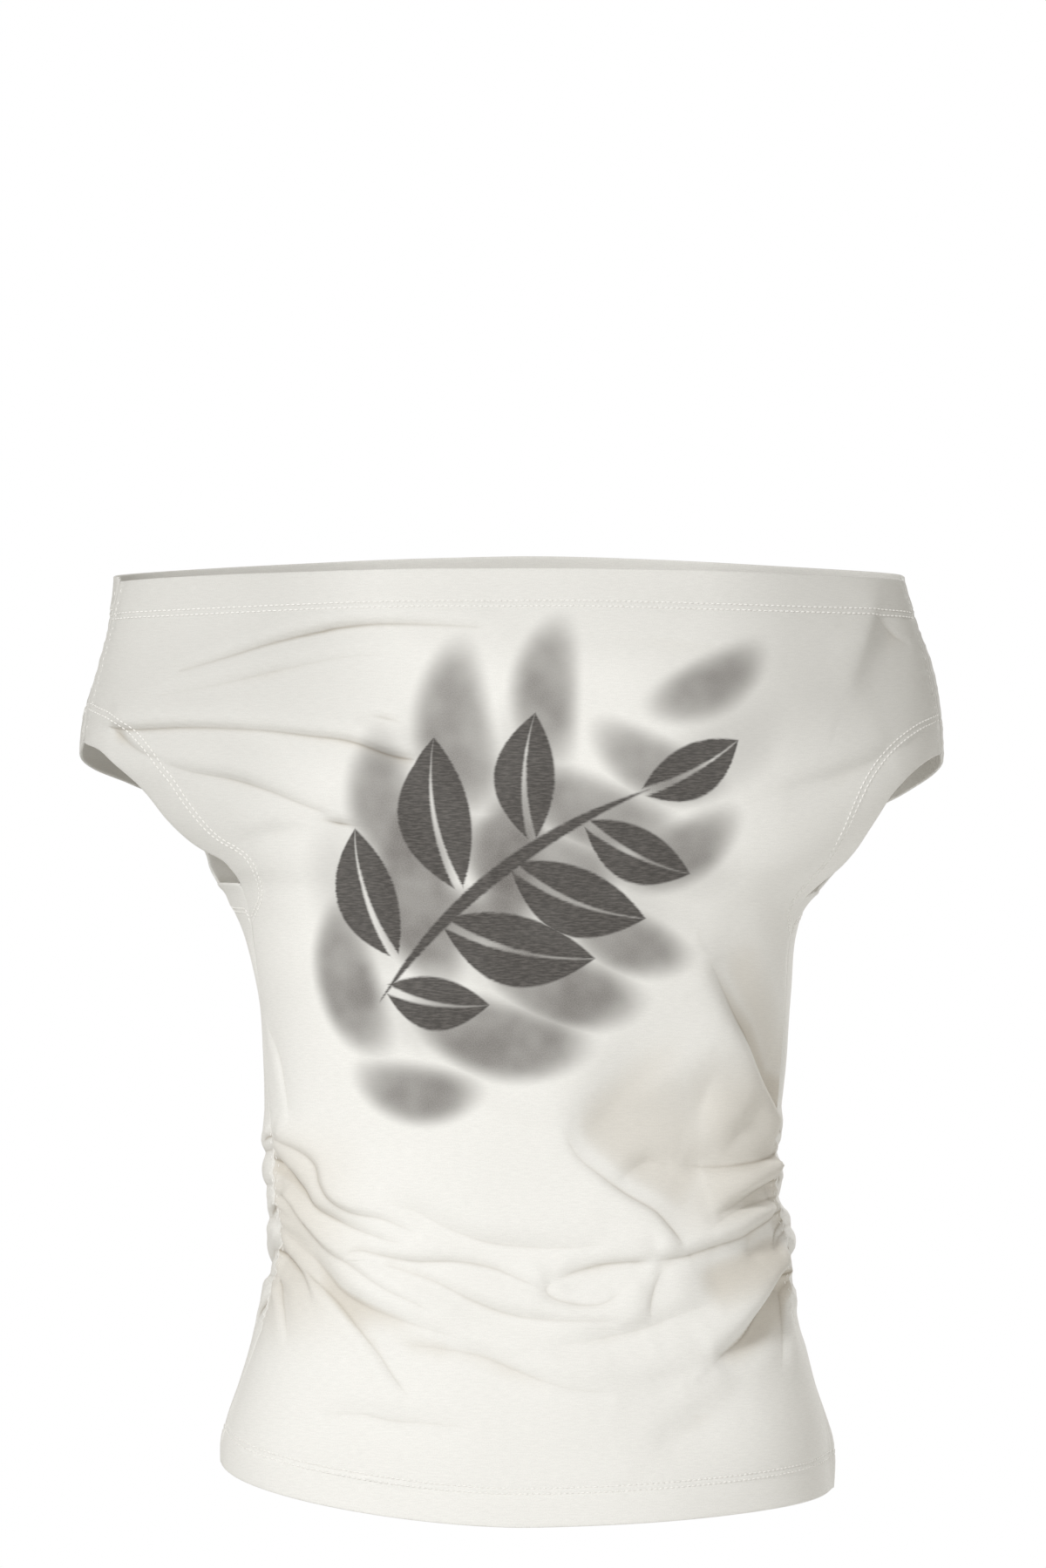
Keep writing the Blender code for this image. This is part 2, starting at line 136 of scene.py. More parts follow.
# Creases of each panel, in millimetres: the side of the rolled lip (1 above, -1 below), half width, depth
# at the start, middle and end (a trough is positive, a ridge negative), how sharp and how darkly painted with
# shade its fold line is, and the points that it follows as distance round the cloth from the centre line and
# height.
Crease = namedtuple("Crease", "lip width start middle end line points")
FRONT_CREASES = (
    # under the neck band
    Crease(1, 3.8, 1.0, 3.1, 0.9, 0.9,
        ((-181, -50), (-151, -42), (-130, -36), (-109, -31), (-88, -27), (-60, -26), (-16, -28))),
    Crease(1, 5, 0.8, 2.3, 0.6, 0.3, ((-195, -63), (-160, -57), (-128, -50), (-92, -43), (-66, -41))),
    Crease(1, 8, 0.8, 2.4, 0.8, 0, ((-10, -28), (30, -30), (80, -34), (125, -36), (172, -36))),
    # drawn from the left armhole towards the chest
    Crease(1, 3.8, 2.9, 2.1, 3.5, 0.9,
        ((-225, -79), (-207, -80), (-174, -79), (-137, -80), (-108, -83), (-87, -86), (-67, -93),
         (-52, -96))),
    Crease(1, 3.2, 1.9, 1.4, 0.5, 0.5, ((-223, -80), (-207, -90), (-188, -97))),
    Crease(1, 5, 0.8, 2.6, 1.6, 0.5,
        ((-190, -97), (-174, -102), (-151, -106), (-130, -112), (-109, -120), (-97, -124))),
    Crease(1, 6, 0.6, 2.0, 0.8, 0, ((-152, -139), (-136, -134), (-123, -132), (-104, -132))),
    Crease(1, 3, 1.3, 2.1, 0.8, 0.8, ((-104, -126), (-95, -128), (-81, -130))),
    Crease(1, 3, 0.6, 1.4, 0.5, 0.5, ((-81, -72), (-70, -74), (-57, -77))),
    # at the right shoulder
    Crease(1, 4.5, 0.8, 1.6, 0.6, 0.35, ((190, -20), (204, -30), (221, -38))),
    Crease(-1, 9.5, -0.8, -2.6, -0.8, 0, ((194, -2), (188, -22), (180, -42), (171, -64))),
    Crease(1, 7, 0.8, 2.4, 1.5, 0, ((134, -112), (160, -106), (184, -99), (204, -90))),
    # under the bust to the right seam
    Crease(-1, 7, 1.3, 5.5, 8.4, 0.9,
        ((100, -196), (110, -212), (121, -228), (132, -240), (144, -256), (167, -281))),
    # right gathers
    Crease(-1, 4.2, 5.0, 3.8, 1.0, 0.95, ((167, -299), (136, -303), (116, -305), (96, -305), (88, -303))),
    Crease(1, 4.6, 5.8, 3.6, 0.8, 0.9, ((168, -312), (140, -317), (120, -324), (103, -331))),
    Crease(1, 2.2, 2.8, 1.4, 0.3, 1.0, ((170, -292), (160, -294), (150, -298))),
    Crease(1, 2.2, 2.6, 1.4, 0.3, 0.9, ((170, -306), (159, -307), (148, -310))),
    Crease(1, 3.0, 3.8, 2.2, 0.3, 1.0, ((171, -336), (158, -342), (146, -351))),
    Crease(1, 2.8, 3.4, 2.0, 0.3, 1.0, ((172, -349), (161, -355), (152, -364))),
    Crease(1, 4.6, 4.4, 3.4, 2.4, 0.9,
        ((170, -327), (157, -330), (136, -336), (122, -341), (105, -345), (86, -350), (69, -352))),
    Crease(-1, 4.4, 3.6, 3.0, 0.8, 0.6, ((171, -321), (147, -323), (130, -325), (112, -330), (99, -337))),
    Crease(1, 4.6, 2.4, 2.4, 1.4, 0.6, ((69, -352), (47, -353), (32, -356), (18, -361))),
    Crease(-1, 4.6, 1.6, 1.9, 0.8, 0.45,
        ((18, -361), (13, -366), (18, -371), (32, -374), (43, -373), (54, -366))),
    Crease(1, 4.5, 0.8, 1.5, 0.8, 0.45, ((75, -355), (70, -364), (67, -376), (69, -384))),
    Crease(1, 6.5, 9.5, 7.2, 2.4, 1.0,
        ((167, -361), (151, -369), (134, -383), (121, -393), (109, -400), (101, -406))),
    Crease(1, 8, 0.8, 2.4, 1.0, 0, ((123, -416), (99, -429), (81, -439), (67, -452))),
    Crease(1, 6.5, 0.8, 2.8, 1.0, 0.2, ((106, -373), (85, -379), (64, -386), (36, -392), (14, -395))),
    Crease(1, 8, 0.8, 2.2, 0.8, 0, ((47, -416), (72, -414), (98, -406))),
    Crease(-1, 3.8, 0.4, 1.5, 1.4, 0.6,
        ((22, -284), (29, -298), (41, -308), (55, -318), (69, -326), (77, -334), (86, -346))),
    Crease(1, 5.5, 0.5, 2.0, 1.0, 0.2, ((50, -314), (57, -307), (69, -302), (86, -305))),
    Crease(-1, 9.5, 0.5, 2.4, 0.8, 0, ((106, -252), (101, -266), (98, -280), (99, -294))),
    Crease(1, 6, 0.6, 2.0, 0.6, 0, ((113, -300), (129, -281), (141, -262))),
    Crease(-1, 3.2, 3.8, 3.2, 1.2, 0.95, ((166, -329), (156, -339), (147, -350))),
    Crease(-1, 6, 0.5, 1.3, 0.5, 0, ((128, -334), (130, -345), (134, -356))),
    Crease(-1, 5, 2.9, 1.9, 0.6, 0.6, ((167, -366), (156, -388), (147, -410))),
    # left gathers
    Crease(1, 3.6, 1.6, 2.6, 0.8, 0.6,
        ((-144, -291), (-122, -297), (-111, -304), (-107, -314), (-101, -322), (-89, -328), (-71, -331),
         (-53, -338))),
    Crease(1, 5.5, 6.4, 4.5, 1.1, 0.8,
        ((-150, -301), (-134, -308), (-121, -317), (-113, -326), (-102, -331), (-88, -336), (-71, -341),
         (-57, -344))),
    Crease(1, 2.8, 2.9, 1.9, 0.8, 0.6,
        ((-140, -321), (-119, -338), (-106, -347), (-89, -355), (-71, -366), (-55, -373), (-45, -378))),
    Crease(1, 7.5, 2.6, 4.8, 1.3, 0.35,
        ((-136, -341), (-116, -351), (-106, -359), (-96, -368), (-82, -375), (-65, -381), (-45, -387),
         (-30, -391))),
    Crease(1, 3.0, 5.1, 3.5, 0.6, 1.0, ((-153, -346), (-131, -356), (-120, -364), (-113, -375))),
    Crease(-1, 2.4, 1.4, 1.3, 1.0, 0.5,
        ((-123, -357), (-102, -371), (-88, -384), (-74, -399), (-66, -410), (-57, -421))),
    Crease(1, 6.5, 1.0, 3.0, 1.4, 0.3,
        ((-74, -321), (-55, -326), (-42, -333), (-27, -339), (-12, -343), (19, -345), (46, -343))),
    Crease(1, 4.4, 1.8, 2.4, 1.4, 0.5,
        ((-93, -350), (-85, -347), (-74, -349), (-55, -352), (-33, -352), (-15, -355), (0, -361),
         (11, -366))),
    Crease(1, 5.5, 1.4, 3.2, 1.4, 0.4,
        ((-78, -352), (-47, -361), (-26, -371), (-4, -379), (23, -382), (51, -382))),
    Crease(1, 6.5, 1.0, 3.0, 1.2, 0.3,
        ((-64, -394), (-42, -396), (-20, -400), (5, -410), (24, -416), (50, -419))),
    Crease(1, 6, 0.8, 2.2, 0.8, 0.3, ((-109, -431), (-84, -430), (-67, -433), (-49, -434), (-25, -436))),
    Crease(-1, 3, 2.2, 1.6, 0.5, 0.6, ((-144, -364), (-135, -380), (-129, -395))),
    Crease(-1, 3, 0.6, 1.1, 0.3, 0.3, ((-160, -235), (-145, -248), (-136, -265), (-129, -284))),
    Crease(1, 10, 0.5, 1.3, 0.5, 0, ((-66, -253), (-34, -267), (-8, -279), (17, -288))),
)
BACK_CREASES = (
    # slack below the neckline and towards the armholes
    Crease(1, 9, 0.5, 1.9, 0.6, 0, ((165, -48), (110, -58), (50, -60), (-15, -52))),
    Crease(1, 6, 1.0, 1.6, 0.5, 0.5, ((-195, -66), (-150, -74), (-105, -86), (-60, -92))),
    Crease(1, 5, 1.4, 1.8, 0.6, 0.6, ((195, -86), (150, -92), (110, -104), (78, -120))),
    Crease(1, 5, 1.0, 2.2, 0.6, 0.4, ((-176, -108), (-150, -107), (-120, -115), (-92, -130))),
    Crease(1, 4, 0.8, 1.9, 0.5, 0.4, ((172, -124), (148, -125), (124, -135), (106, -150))),
    Crease(1, 4.4, 0.8, 2.2, 0.7, 0.45, ((146, -30), (116, -25), (82, -22), (46, -25), (14, -31))),
    Crease(1, 6, 0.6, 1.8, 0.6, 0.15, ((-172, -38), (-134, -43), (-96, -43), (-60, -38))),
    Crease(1, 8, 0.5, 2.0, 0.6, 0, ((-122, -200), (-100, -228), (-70, -250), (-32, -262))),
    Crease(-1, 7, 0.5, 1.7, 0.5, 0, ((130, -236), (106, -252), (76, -262))),
    # gathers at the left seam
    Crease(1, 4.4, 2.0, 2.8, 0.8, 0.7,
        ((-201, -297), (-175, -300), (-142, -305), (-108, -316), (-72, -322), (-40, -320))),
    Crease(1, 6.5, 2.2, 4.4, 1.3, 0.6,
        ((-204, -315), (-175, -318), (-140, -328), (-104, -344), (-60, -356), (-18, -358))),
    Crease(-1, 3.2, 1.2, 1.9, 0.6, 0.6,
        ((-202, -333), (-172, -336), (-142, -352), (-118, -374), (-100, -398))),
    Crease(1, 6, 2.6, 4.6, 1.4, 0.7,
        ((-201, -349), (-175, -352), (-144, -368), (-112, -384), (-70, -396), (-28, -398))),
    Crease(-1, 2.8, 1.2, 1.6, 0.6, 0.5, ((-203, -363), (-172, -366), (-152, -388), (-138, -412))),
    Crease(1, 7, 0.6, 2.4, 0.8, 0, ((-88, -418), (-48, -426), (-8, -428), (30, -424))),
    Crease(1, 6, 0.6, 2.2, 0.8, 0.2, ((-52, -336), (-24, -341), (6, -340), (38, -334))),
    Crease(-1, 5, 0.6, 1.8, 0.6, 0.2, ((-34, -371), (-8, -374), (20, -371), (46, -364))),
    # gathers at the right seam
    Crease(1, 4.6, 2.2, 3.0, 0.8, 0.7,
        ((193, -295), (172, -298), (138, -306), (100, -318), (62, -322), (30, -316))),
    Crease(1, 7, 2.4, 4.0, 1.3, 0.6,
        ((195, -319), (172, -322), (140, -336), (108, -346), (66, -350), (24, -346))),
    Crease(1, 3.2, 1.4, 2.0, 0.6, 0.6, ((201, -337), (172, -340), (144, -360), (112, -372), (84, -374))),
    Crease(1, 6, 2.8, 4.9, 1.6, 0.8,
        ((206, -353), (172, -356), (142, -378), (116, -396), (82, -410), (52, -414))),
    Crease(-1, 3, 1.4, 1.6, 0.6, 0.5, ((207, -369), (168, -372), (150, -396), (140, -420))),
    Crease(1, 8, 0.6, 2.4, 0.8, 0, ((64, -388), (28, -393), (-14, -397), (-44, -394))),
    # nicks at the two seams
    Crease(1, 2.4, 1.6, 1.4, 0.3, 1.0, ((-201, -290), (-190, -292), (-180, -296))),
    Crease(1, 2.4, 1.7, 1.5, 0.3, 1.0, ((-204, -327), (-193, -331), (-184, -337))),
    Crease(1, 2.4, 1.6, 1.4, 0.3, 1.0, ((-201, -376), (-192, -383), (-186, -391))),
    Crease(1, 2.4, 1.6, 1.4, 0.3, 1.0, ((193, -287), (182, -289), (172, -291))),
    Crease(1, 2.4, 1.7, 1.5, 0.3, 1.0, ((194, -310), (184, -314), (174, -319))),
    Crease(1, 2.4, 1.6, 1.4, 0.3, 1.0, ((205, -348), (195, -354), (188, -362))),
    # hollow of the back
    Crease(1, 12, 0.6, 2.2, 0.6, 0, ((-70, -262), (-20, -278), (30, -278), (80, -262))),
    Crease(1, 9, 0.5, 1.6, 0.5, 0, ((-58, -298), (-12, -306), (40, -300))),
    Crease(1, 10, 0.5, 1.3, 0.5, 0, ((90, -196), (50, -214), (0, -218))),
)
CREASES = {"front": FRONT_CREASES, "back": BACK_CREASES}


PROFILE_STEPS = 1500


def smooth_profile(keys, values):
    """A monotone cubic through a table's column, as a function of the key."""
    keys, values = np.array(keys, float), np.array(values, float)
    if keys[0] > keys[-1]:
        keys, values = keys[::-1], values[::-1]
    step = np.diff(keys)
    slope = np.diff(values) / step
    tangent = np.concatenate([slope[:1], (slope[:-1] + slope[1:]) / 2, slope[-1:]])
    turning = slope[:-1] * slope[1:] <= 0
    tangent[1:-1][turning] = 0
    limit = 3 * np.minimum(np.abs(np.append(slope, slope[-1])), np.abs(np.append(slope[0], slope)))
    tangent = np.clip(tangent, -limit, limit)
    fine = np.linspace(keys[0], keys[-1], PROFILE_STEPS)
    cell = np.clip(np.searchsorted(keys, fine, side="right") - 1, 0, len(step) - 1)
    t = (fine - keys[cell]) / step[cell]
    curve = (
        (2 * t**3 - 3 * t**2 + 1) * values[cell]
        + (t**3 - 2 * t**2 + t) * step[cell] * tangent[cell]
        + (3 * t**2 - 2 * t**3) * values[cell + 1]
        + (t**3 - t**2) * step[cell] * tangent[cell + 1]
    )
    return lambda at: np.interp(at, fine, curve)


def table_profile(table, column, unit):
    """One named column of a table as a function of height in metres."""
    return smooth_profile([row.height * MM for row in table], [getattr(row, column) * unit for row in table])


RING = {name: table_profile(RINGS, name, MM) for name in ("left", "right", "front", "back")}
RING["fullness"] = table_profile(RINGS, "fullness", 1)
SEAM = {
    (seam, side): table_profile(table, side, np.pi / 180)
    for seam, table in (("shoulder", SHOULDER_SEAM), ("side", SIDE_SEAM))
    for side in ("left", "right")
}


def beside(*values):
    """Arrays of like shape as the last columns of one array."""
    return np.stack(values, axis=-1)


def ring_point(turn, height):
    """Point of the worn shape at a bearing (radians) and height."""
    across, ahead = np.sin(turn), np.cos(turn)
    width = np.where(across < 0, RING["left"](height), RING["right"](height))
    depth = np.where(ahead > 0, RING["front"](height), RING["back"](height))
    power = RING["fullness"](height)
    reach = (np.abs(across / width) ** power + np.abs(ahead / depth) ** power) ** (-1 / power)
    return beside(reach * across, -reach * ahead, height + 0 * reach)


def unit(vectors):
    return vectors / np.maximum(np.linalg.norm(vectors, axis=-1, keepdims=True), 1e-12)


def square_to(vectors, line):
    """The vectors without what runs along the line's unit vectors, at unit length."""
    return unit(vectors - line * (vectors * line).sum(axis=-1, keepdims=True))


def ring_slopes(turn, height):
    """Change of the point with bearing and with height, and the outward normal."""
    step = 1e-4  # radians and metres
    by_turn = (ring_point(turn + step, height) - ring_point(turn - step, height)) / (2 * step)
    by_height = (ring_point(turn, height + step) - ring_point(turn, height - step)) / (2 * step)
    return by_turn, by_height, unit(np.cross(by_turn, by_height))


def centre_turn(panel, side):
    return 0.0 if panel == "front" else SIGN[side] * np.pi


def inward_turn(panel, side, turn, height, distance):
    """A bearing moved along the cloth from a seam towards the panel's centre."""
    by_turn = ring_slopes(turn, height)[0]
    towards = -SIGN[side] if panel == "front" else SIGN[side]
    return turn + towards * distance / np.linalg.norm(by_turn, axis=-1)


def seam_turn(panel, seam, side, height):
    """Bearing of a panel's edge along a seam, drawn back by its fold and half of the seam's gap."""
    turn = SIGN[side] * SEAM[seam, side](height)
    return inward_turn(panel, side, turn, height, SEAM_HALF_GAP + FOLD_RADIUS)


def length_along(points):
    steps = np.linalg.norm(np.diff(points, axis=0), axis=1)
    return np.concatenate([[0], np.cumsum(steps)])


HALF_COLUMNS = 86
END_SPACING = 0.74  # spacing of columns at the seams, as a share of the mean
ROW_SAG = 1.6  # power by which a row's height leaves its height at the centre line
PATH_STEPS = 240


def half_row(panel, side, end_turn, end_height, centre_height):
    """(turn, height) at each column from the panel's centre to this end, closer near the end."""
    share = np.linspace(0, 1, PATH_STEPS)
    start = centre_turn(panel, side)
    turn = start + (end_turn - start) * share
    level = length_along(ring_point(turn, np.full(PATH_STEPS, end_height)))
    height = centre_height + (end_height - centre_height) * (level / level[-1]) ** ROW_SAG
    length = length_along(ring_point(turn, height))
    place = np.linspace(0, 1, HALF_COLUMNS + 1)
    columns = length[-1] * (1 - END_SPACING * (1 - place) - (1 - END_SPACING) * (1 - place) ** 2)
    return beside(np.interp(columns, length, turn), np.interp(columns, length, height))


EDGE_STEPS = 160
GUIDE_ROWS, GUIDE_INSET = 8, 3 * MM  # rows that set the strip's run between its two ends
SMOOTHING_ROUNDS = 4
STRIP_ROWS = 60
STRIP_DEPTHS = (0.8, 3, 6, 9, 12, 14, 15, 16, 17, 18, 19, 20)  # in millimetres from the edge


def armhole_strip(panel, side):
    """(turn, height) over the armhole's turned hem: row by row down the edge, by depth from it."""
    table = ARMHOLES[panel, side]
    along = np.arange(len(table))
    fine = np.linspace(0, len(table) - 1, EDGE_STEPS)
    turn = SIGN[side] * np.radians(smooth_profile(along, [row.turn for row in table])(fine))
    height = smooth_profile(along, [row.height * MM for row in table])(fine)
    turn[0] = seam_turn(panel, "shoulder", side, height[0])
    turn[-1] = seam_turn(panel, "side", side, height[-1])
    length = length_along(ring_point(turn, height))
    guides = np.linspace(GUIDE_INSET, length[-1] - GUIDE_INSET, GUIDE_ROWS)
    rows = np.concatenate([[0], guides, [length[-1]]])
    turn, height = np.interp(rows, length, turn), np.interp(rows, length, height)

    # The strip's depth runs square to the edge, and along the seams at its two ends
    edge = ring_point(turn, height)
    by_turn, by_height, normal = ring_slopes(turn, height)
    inward = np.cross(normal, np.gradient(edge, axis=0))
    inward *= SIGN[side] * (-1 if panel == "front" else 1)
    for row, seam, step in ((0, "shoulder", HEM_DEPTH), (-1, "side", -HEM_DEPTH)):
        seam_height = height[row] + step
        inward[row] = ring_point(seam_turn(panel, seam, side, seam_height), seam_height) - edge[row]
    inward = unit(inward)
    for _ in range(SMOOTHING_ROUNDS):
        inward[1:-1] = inward[:-2] + 2 * inward[1:-1] + inward[2:]
        inward = unit(inward)
    lines = []
    for depth in STRIP_DEPTHS:
        line = np.empty((len(turn), 2))
        for row, (a, b, move) in enumerate(zip(by_turn, by_height, inward * depth * MM)):
            change = np.linalg.lstsq(np.stack([a, b], axis=1), move, rcond=None)[0]
            line[row] = turn[row] + change[0], height[row] + change[1]
        for row, seam, step in ((0, "shoulder", depth * MM), (-1, "side", -depth * MM)):
            line[row] = seam_turn(panel, seam, side, height[row] + step), height[row] + step
        fine_rows = np.linspace(0, rows[-1], STRIP_ROWS)
        lines.append(beside(*(smooth_profile(rows, values)(fine_rows) for values in line.T)))
    return np.stack(lines, axis=1)


# Row heights: millimetres from an edge where a hem lies, then even steps between the named levels
HEM_ROWS = (0.8, 3, 6, 10, 14, 16.5, 17.5, 18.5, 19.5, 20.5, 21.5, 23)
SHOULDER_ROWS = 22
GATHERS_TOP, GATHERS_FOOT = -283 * MM, -412 * MM
UPPER_SIDE_ROWS, GATHERED_ROWS, LOWER_SIDE_ROWS = 38, 68, 10
CENTRE_AT_SHOULDER_END, CENTRE_AT_ARMHOLE_END = -66 * MM, -205 * MM


def flank_heights(top, bottom):
    """Row heights from the foot of the armhole down to the bottom edge."""
    hem = bottom + np.array(HEM_ROWS[::-1]) * MM
    upper = np.linspace(top, GATHERS_TOP, UPPER_SIDE_ROWS + 1)[1:]
    gathers_shade = np.linspace(GATHERS_TOP, GATHERS_FOOT, GATHERED_ROWS + 1)[1:]
    lower = np.linspace(GATHERS_FOOT, hem[0], LOWER_SIDE_ROWS + 1)[1:-1]
    return np.concatenate([upper, gathers_shade, lower, hem])


def shoulder_heights(neck, foot):
    """Row heights from the neck edge down to the top of the armhole."""
    hem = neck - np.array(HEM_ROWS) * MM
    return np.concatenate([hem, np.linspace(hem[-1], foot, SHOULDER_ROWS + 1)[1:-1]])


def row_ends(panel, side, strip):
    """(turn, height) where each row of the main sheet ends on this side."""
    corner = 0 if side == "left" else 2
    shoulder = shoulder_heights(NECK[panel][corner], strip[0, -1, 1])
    flank = flank_heights(strip[-1, -1, 1], BOTTOM[panel][corner])
    above = beside(seam_turn(panel, "shoulder", side, shoulder), shoulder)
    below = beside(seam_turn(panel, "side", side, flank), flank)
    return np.concatenate([above, strip[:, -1], below])


def main_sheet(panel, strips):
    """(turn, height) over the panel's main sheet, rows downwards and columns from left to right."""
    left, right = (row_ends(panel, side, strips[side]) for side in ("left", "right"))
    upper = shoulder_heights(NECK[panel][1], CENTRE_AT_SHOULDER_END)
    armhole = np.linspace(CENTRE_AT_SHOULDER_END, CENTRE_AT_ARMHOLE_END, STRIP_ROWS)
    lower = flank_heights(CENTRE_AT_ARMHOLE_END, BOTTOM[panel][1])
    rows = []
    for left_end, right_end, height in zip(left, right, np.concatenate([upper, armhole, lower])):
        left_half = half_row(panel, "left", *left_end, height)
        right_half = half_row(panel, "right", *right_end, height)
        rows.append(np.concatenate([left_half[::-1], right_half[1:]]))
    return np.stack(rows)


ROUND_STEPS = 36


def distance_round(panel, turn, height):
    """Signed distance along the ring from the panel's centre line."""
    start = np.where(turn < 0, centre_turn(panel, "left"), centre_turn(panel, "right"))
    total, last = 0, None
    for share in np.linspace(0, 1, ROUND_STEPS):
        point = ring_point(start + (turn - start) * share, height)
        if last is not None:
            total = total + np.linalg.norm(point - last, axis=-1)
        last = point
    return np.sign(turn) * total


LINE_STEPS = 60


def crease_line(points):
    """A smooth line through a crease's points, in even steps."""
    points = np.array(points, float)
    reach = length_along(points)
    t = np.linspace(0, 1, LINE_STEPS)
    padded = np.concatenate([[2 * points[0] - points[1]], points, [2 * points[-1] - points[-2]]])
    cell = np.clip(np.searchsorted(reach, t * reach[-1], side="right") - 1, 0, len(points) - 2)
    f = ((t * reach[-1] - reach[cell]) / np.diff(reach)[cell])[:, None]
    a, b, c, d = (padded[cell + i] for i in range(4))
    return 0.5 * (2 * b + (c - a) * f + (2 * a - 5 * b + 4 * c - d) * f**2 + (3 * b - a - 3 * c + d) * f**3)


def near_line(line, across, height, margin):
    """Places within a margin of a line: distance, side (1 above, -1 below) and share of the line's length."""
    low, high = line.min(axis=0) - margin, line.max(axis=0) + margin
    within = (across > low[0]) & (across < high[0]) & (height > low[1]) & (height < high[1])
    near = np.flatnonzero(within.ravel())
    step = np.diff(line, axis=0)
    dx = across.ravel()[near][:, None] - line[:-1, 0]
    dz = height.ravel()[near][:, None] - line[:-1, 1]
    share = np.clip((dx * step[:, 0] + dz * step[:, 1]) / (step**2).sum(axis=1), 0, 1)
    gap = (dx - share * step[:, 0]) ** 2 + (dz - share * step[:, 1]) ** 2
    index = gap.argmin(axis=1)
    row = np.arange(len(near))
    cross = step[index, 0] * dz[row, index] - step[index, 1] * dx[row, index]
    side = np.where(cross < 0, -1, 1) * (1 if line[-1, 0] >= line[0, 0] else -1)
    return near, np.sqrt(gap[row, index]), side, (index + share[row, index]) / len(step)


# A crease across itself, in its half widths: how far it is felt, how the trough falls off under its lip and
# on its open side, and the lip's share of the depth, place and two widths. Its ends run out over a length,
# in half widths, to a share of the depth.
CREASE_REACH = 4
SHARP, GENTLE, TROUGH_POWER = 0.6, 2.1, 1.5
LIP_SHARE, LIP_PLACE, LIP_INNER, LIP_OUTER = 0.55, 1.7, 1.1, 2.0
TIP_LENGTH, TIP_DEPTH = 1.2, 0.35


def bell(value, middle, width, size=1):
    """A smooth bump of this size at the middle."""
    return size * np.exp(-(((value - middle) / width) ** 2))


def soft_step(value, middle, steepness):
    """A smooth step about the middle, up from 0 to 1, or down to 0 with a negative steepness."""
    return 1 / (1 + np.exp(steepness * (middle - value)))


def ease(share):
    """A share from 0 to 1 with soft ends."""
    return share**2 * (3 - 2 * share)


def depth_along(crease, along):
    return np.interp(along, (0, 0.5, 1), (crease.start, crease.middle, crease.end))


def run_out(line, along, reach):
    """0 at the ends of a line, and 1 from this reach inwards."""
    return np.clip(np.minimum(along, 1 - along) * length_along(line)[-1] / reach, 0, 1)


def crease_relief(crease, across, height):
    """Inward set of the cloth round one crease, in millimetres, at places in millimetres."""
    line = crease_line(crease.points)
    near, distance, above, along = near_line(line, across, height, CREASE_REACH * crease.width)
    side = above * crease.lip
    reach = distance / crease.width
    tip = run_out(line, along, TIP_LENGTH * crease.width)
    depth = depth_along(crease, along) * (TIP_DEPTH + (1 - TIP_DEPTH) * tip)
    trough = np.exp(-((reach / np.where(side > 0, SHARP, GENTLE)) ** TROUGH_POWER))
    from_lip = side * reach - LIP_PLACE
    lip = bell(from_lip, 0, np.where(from_lip < 0, LIP_INNER, LIP_OUTER), LIP_SHARE)
    relief = np.zeros_like(across)
    relief.ravel()[near] = depth * (trough - lip)
    return relief


# Ridges where the cloth turns away to one side (1 above, -1 below the line): depth of the fall, how far it
# spreads, how much painted shade the far side gets, and the points that it follows, in millimetres.
Ridge = namedtuple("Ridge", "side depth spread shade points")
RIDGES = {
    "front": (
        Ridge(1, 10.5, 46, 0.74,
            ((18, -272), (24, -290), (30, -299), (42, -309), (56, -319), (70, -327), (78, -335),
             (87, -347))),
        Ridge(-1, 5.5, 19, 0.95, ((160, -330), (136, -336), (122, -341), (105, -346), (84, -352))),
        Ridge(-1, 2.0, 8, 0.6, ((166, -309), (140, -314), (120, -320), (104, -327))),
        Ridge(1, 3.0, 20, 0.72,
            ((98, -190), (108, -210), (119, -227), (131, -240), (144, -256), (168, -282))),
    ),
    "back": (),
}


RIDGE_REACH, SHADE_REACH = 2.8, 1.9  # how far the fall and its shade are felt, in spreads
FALL_GAIN = 1.9  # brings the deepest place of the fall near to its depth
RIDGE_START, RIDGE_END, RIDGE_FADE = -0.12, 1.1, 0.36  # in shares of its length
SHADE_START, SHADE_STEEPNESS = 6, 0.35


def ridge_relief(ridge, across, height):
    """Inward set and painted shade of the cloth on the far side of a ridge, at places in millimetres."""
    line = crease_line(ridge.points)
    near, distance, above, _ = near_line(line, across, height, RIDGE_REACH * ridge.spread)
    beyond = distance * above * ridge.side
    chord = line[-1] - line[0]
    x, z = across.ravel()[near] - line[0, 0], height.ravel()[near] - line[0, 1]
    share = (x * chord[0] + z * chord[1]) / (chord**2).sum()
    fade = ease(np.clip(np.minimum(share - RIDGE_START, RIDGE_END - share) / RIDGE_FADE, 0, 1))
    reach = np.clip(beyond, 0, None) / ridge.spread
    relief, shade = np.zeros_like(across), np.zeros_like(across)
    relief.ravel()[near] = ridge.depth * fade * reach * bell(reach, 0, 1, FALL_GAIN)
    # The far side's shade is painted into the cloth's colour
    far = soft_step(beyond, SHADE_START, SHADE_STEEPNESS) * np.exp(-((reach / SHADE_REACH) ** 4))
    shade.ravel()[near] = ridge.shade * fade * far
    return relief, shade


# Sharp fold lines, in millimetres: a line fades between two distances, isn't felt beyond a third, and runs
# out over a length at its ends, but not where it enters a side seam
LINE_FADE, LINE_FAR, LINE_TIP = (3.2, 5.5), 12, 9
SIDE_SEAM_FROM = 128
CLOSE_LINES = 11


def line_sets(panel):
    """The panel's creases with a sharp fold line, in two sets, with close neighbours in different ones."""
    sets = [], []
    for crease in CREASES[panel]:
        if not crease.line:
            continue
        path = crease_line(crease.points)
        gaps = []
        for chosen in sets:
            others = [crease_line(other.points) for other in chosen]
            gaps.append(min((np.hypot(*(path[:, None] - o[None]).T).min() for o in others), default=np.inf))
        sets[0 if gaps[0] >= min(gaps[1], CLOSE_LINES) else 1].append(crease)
    return sets


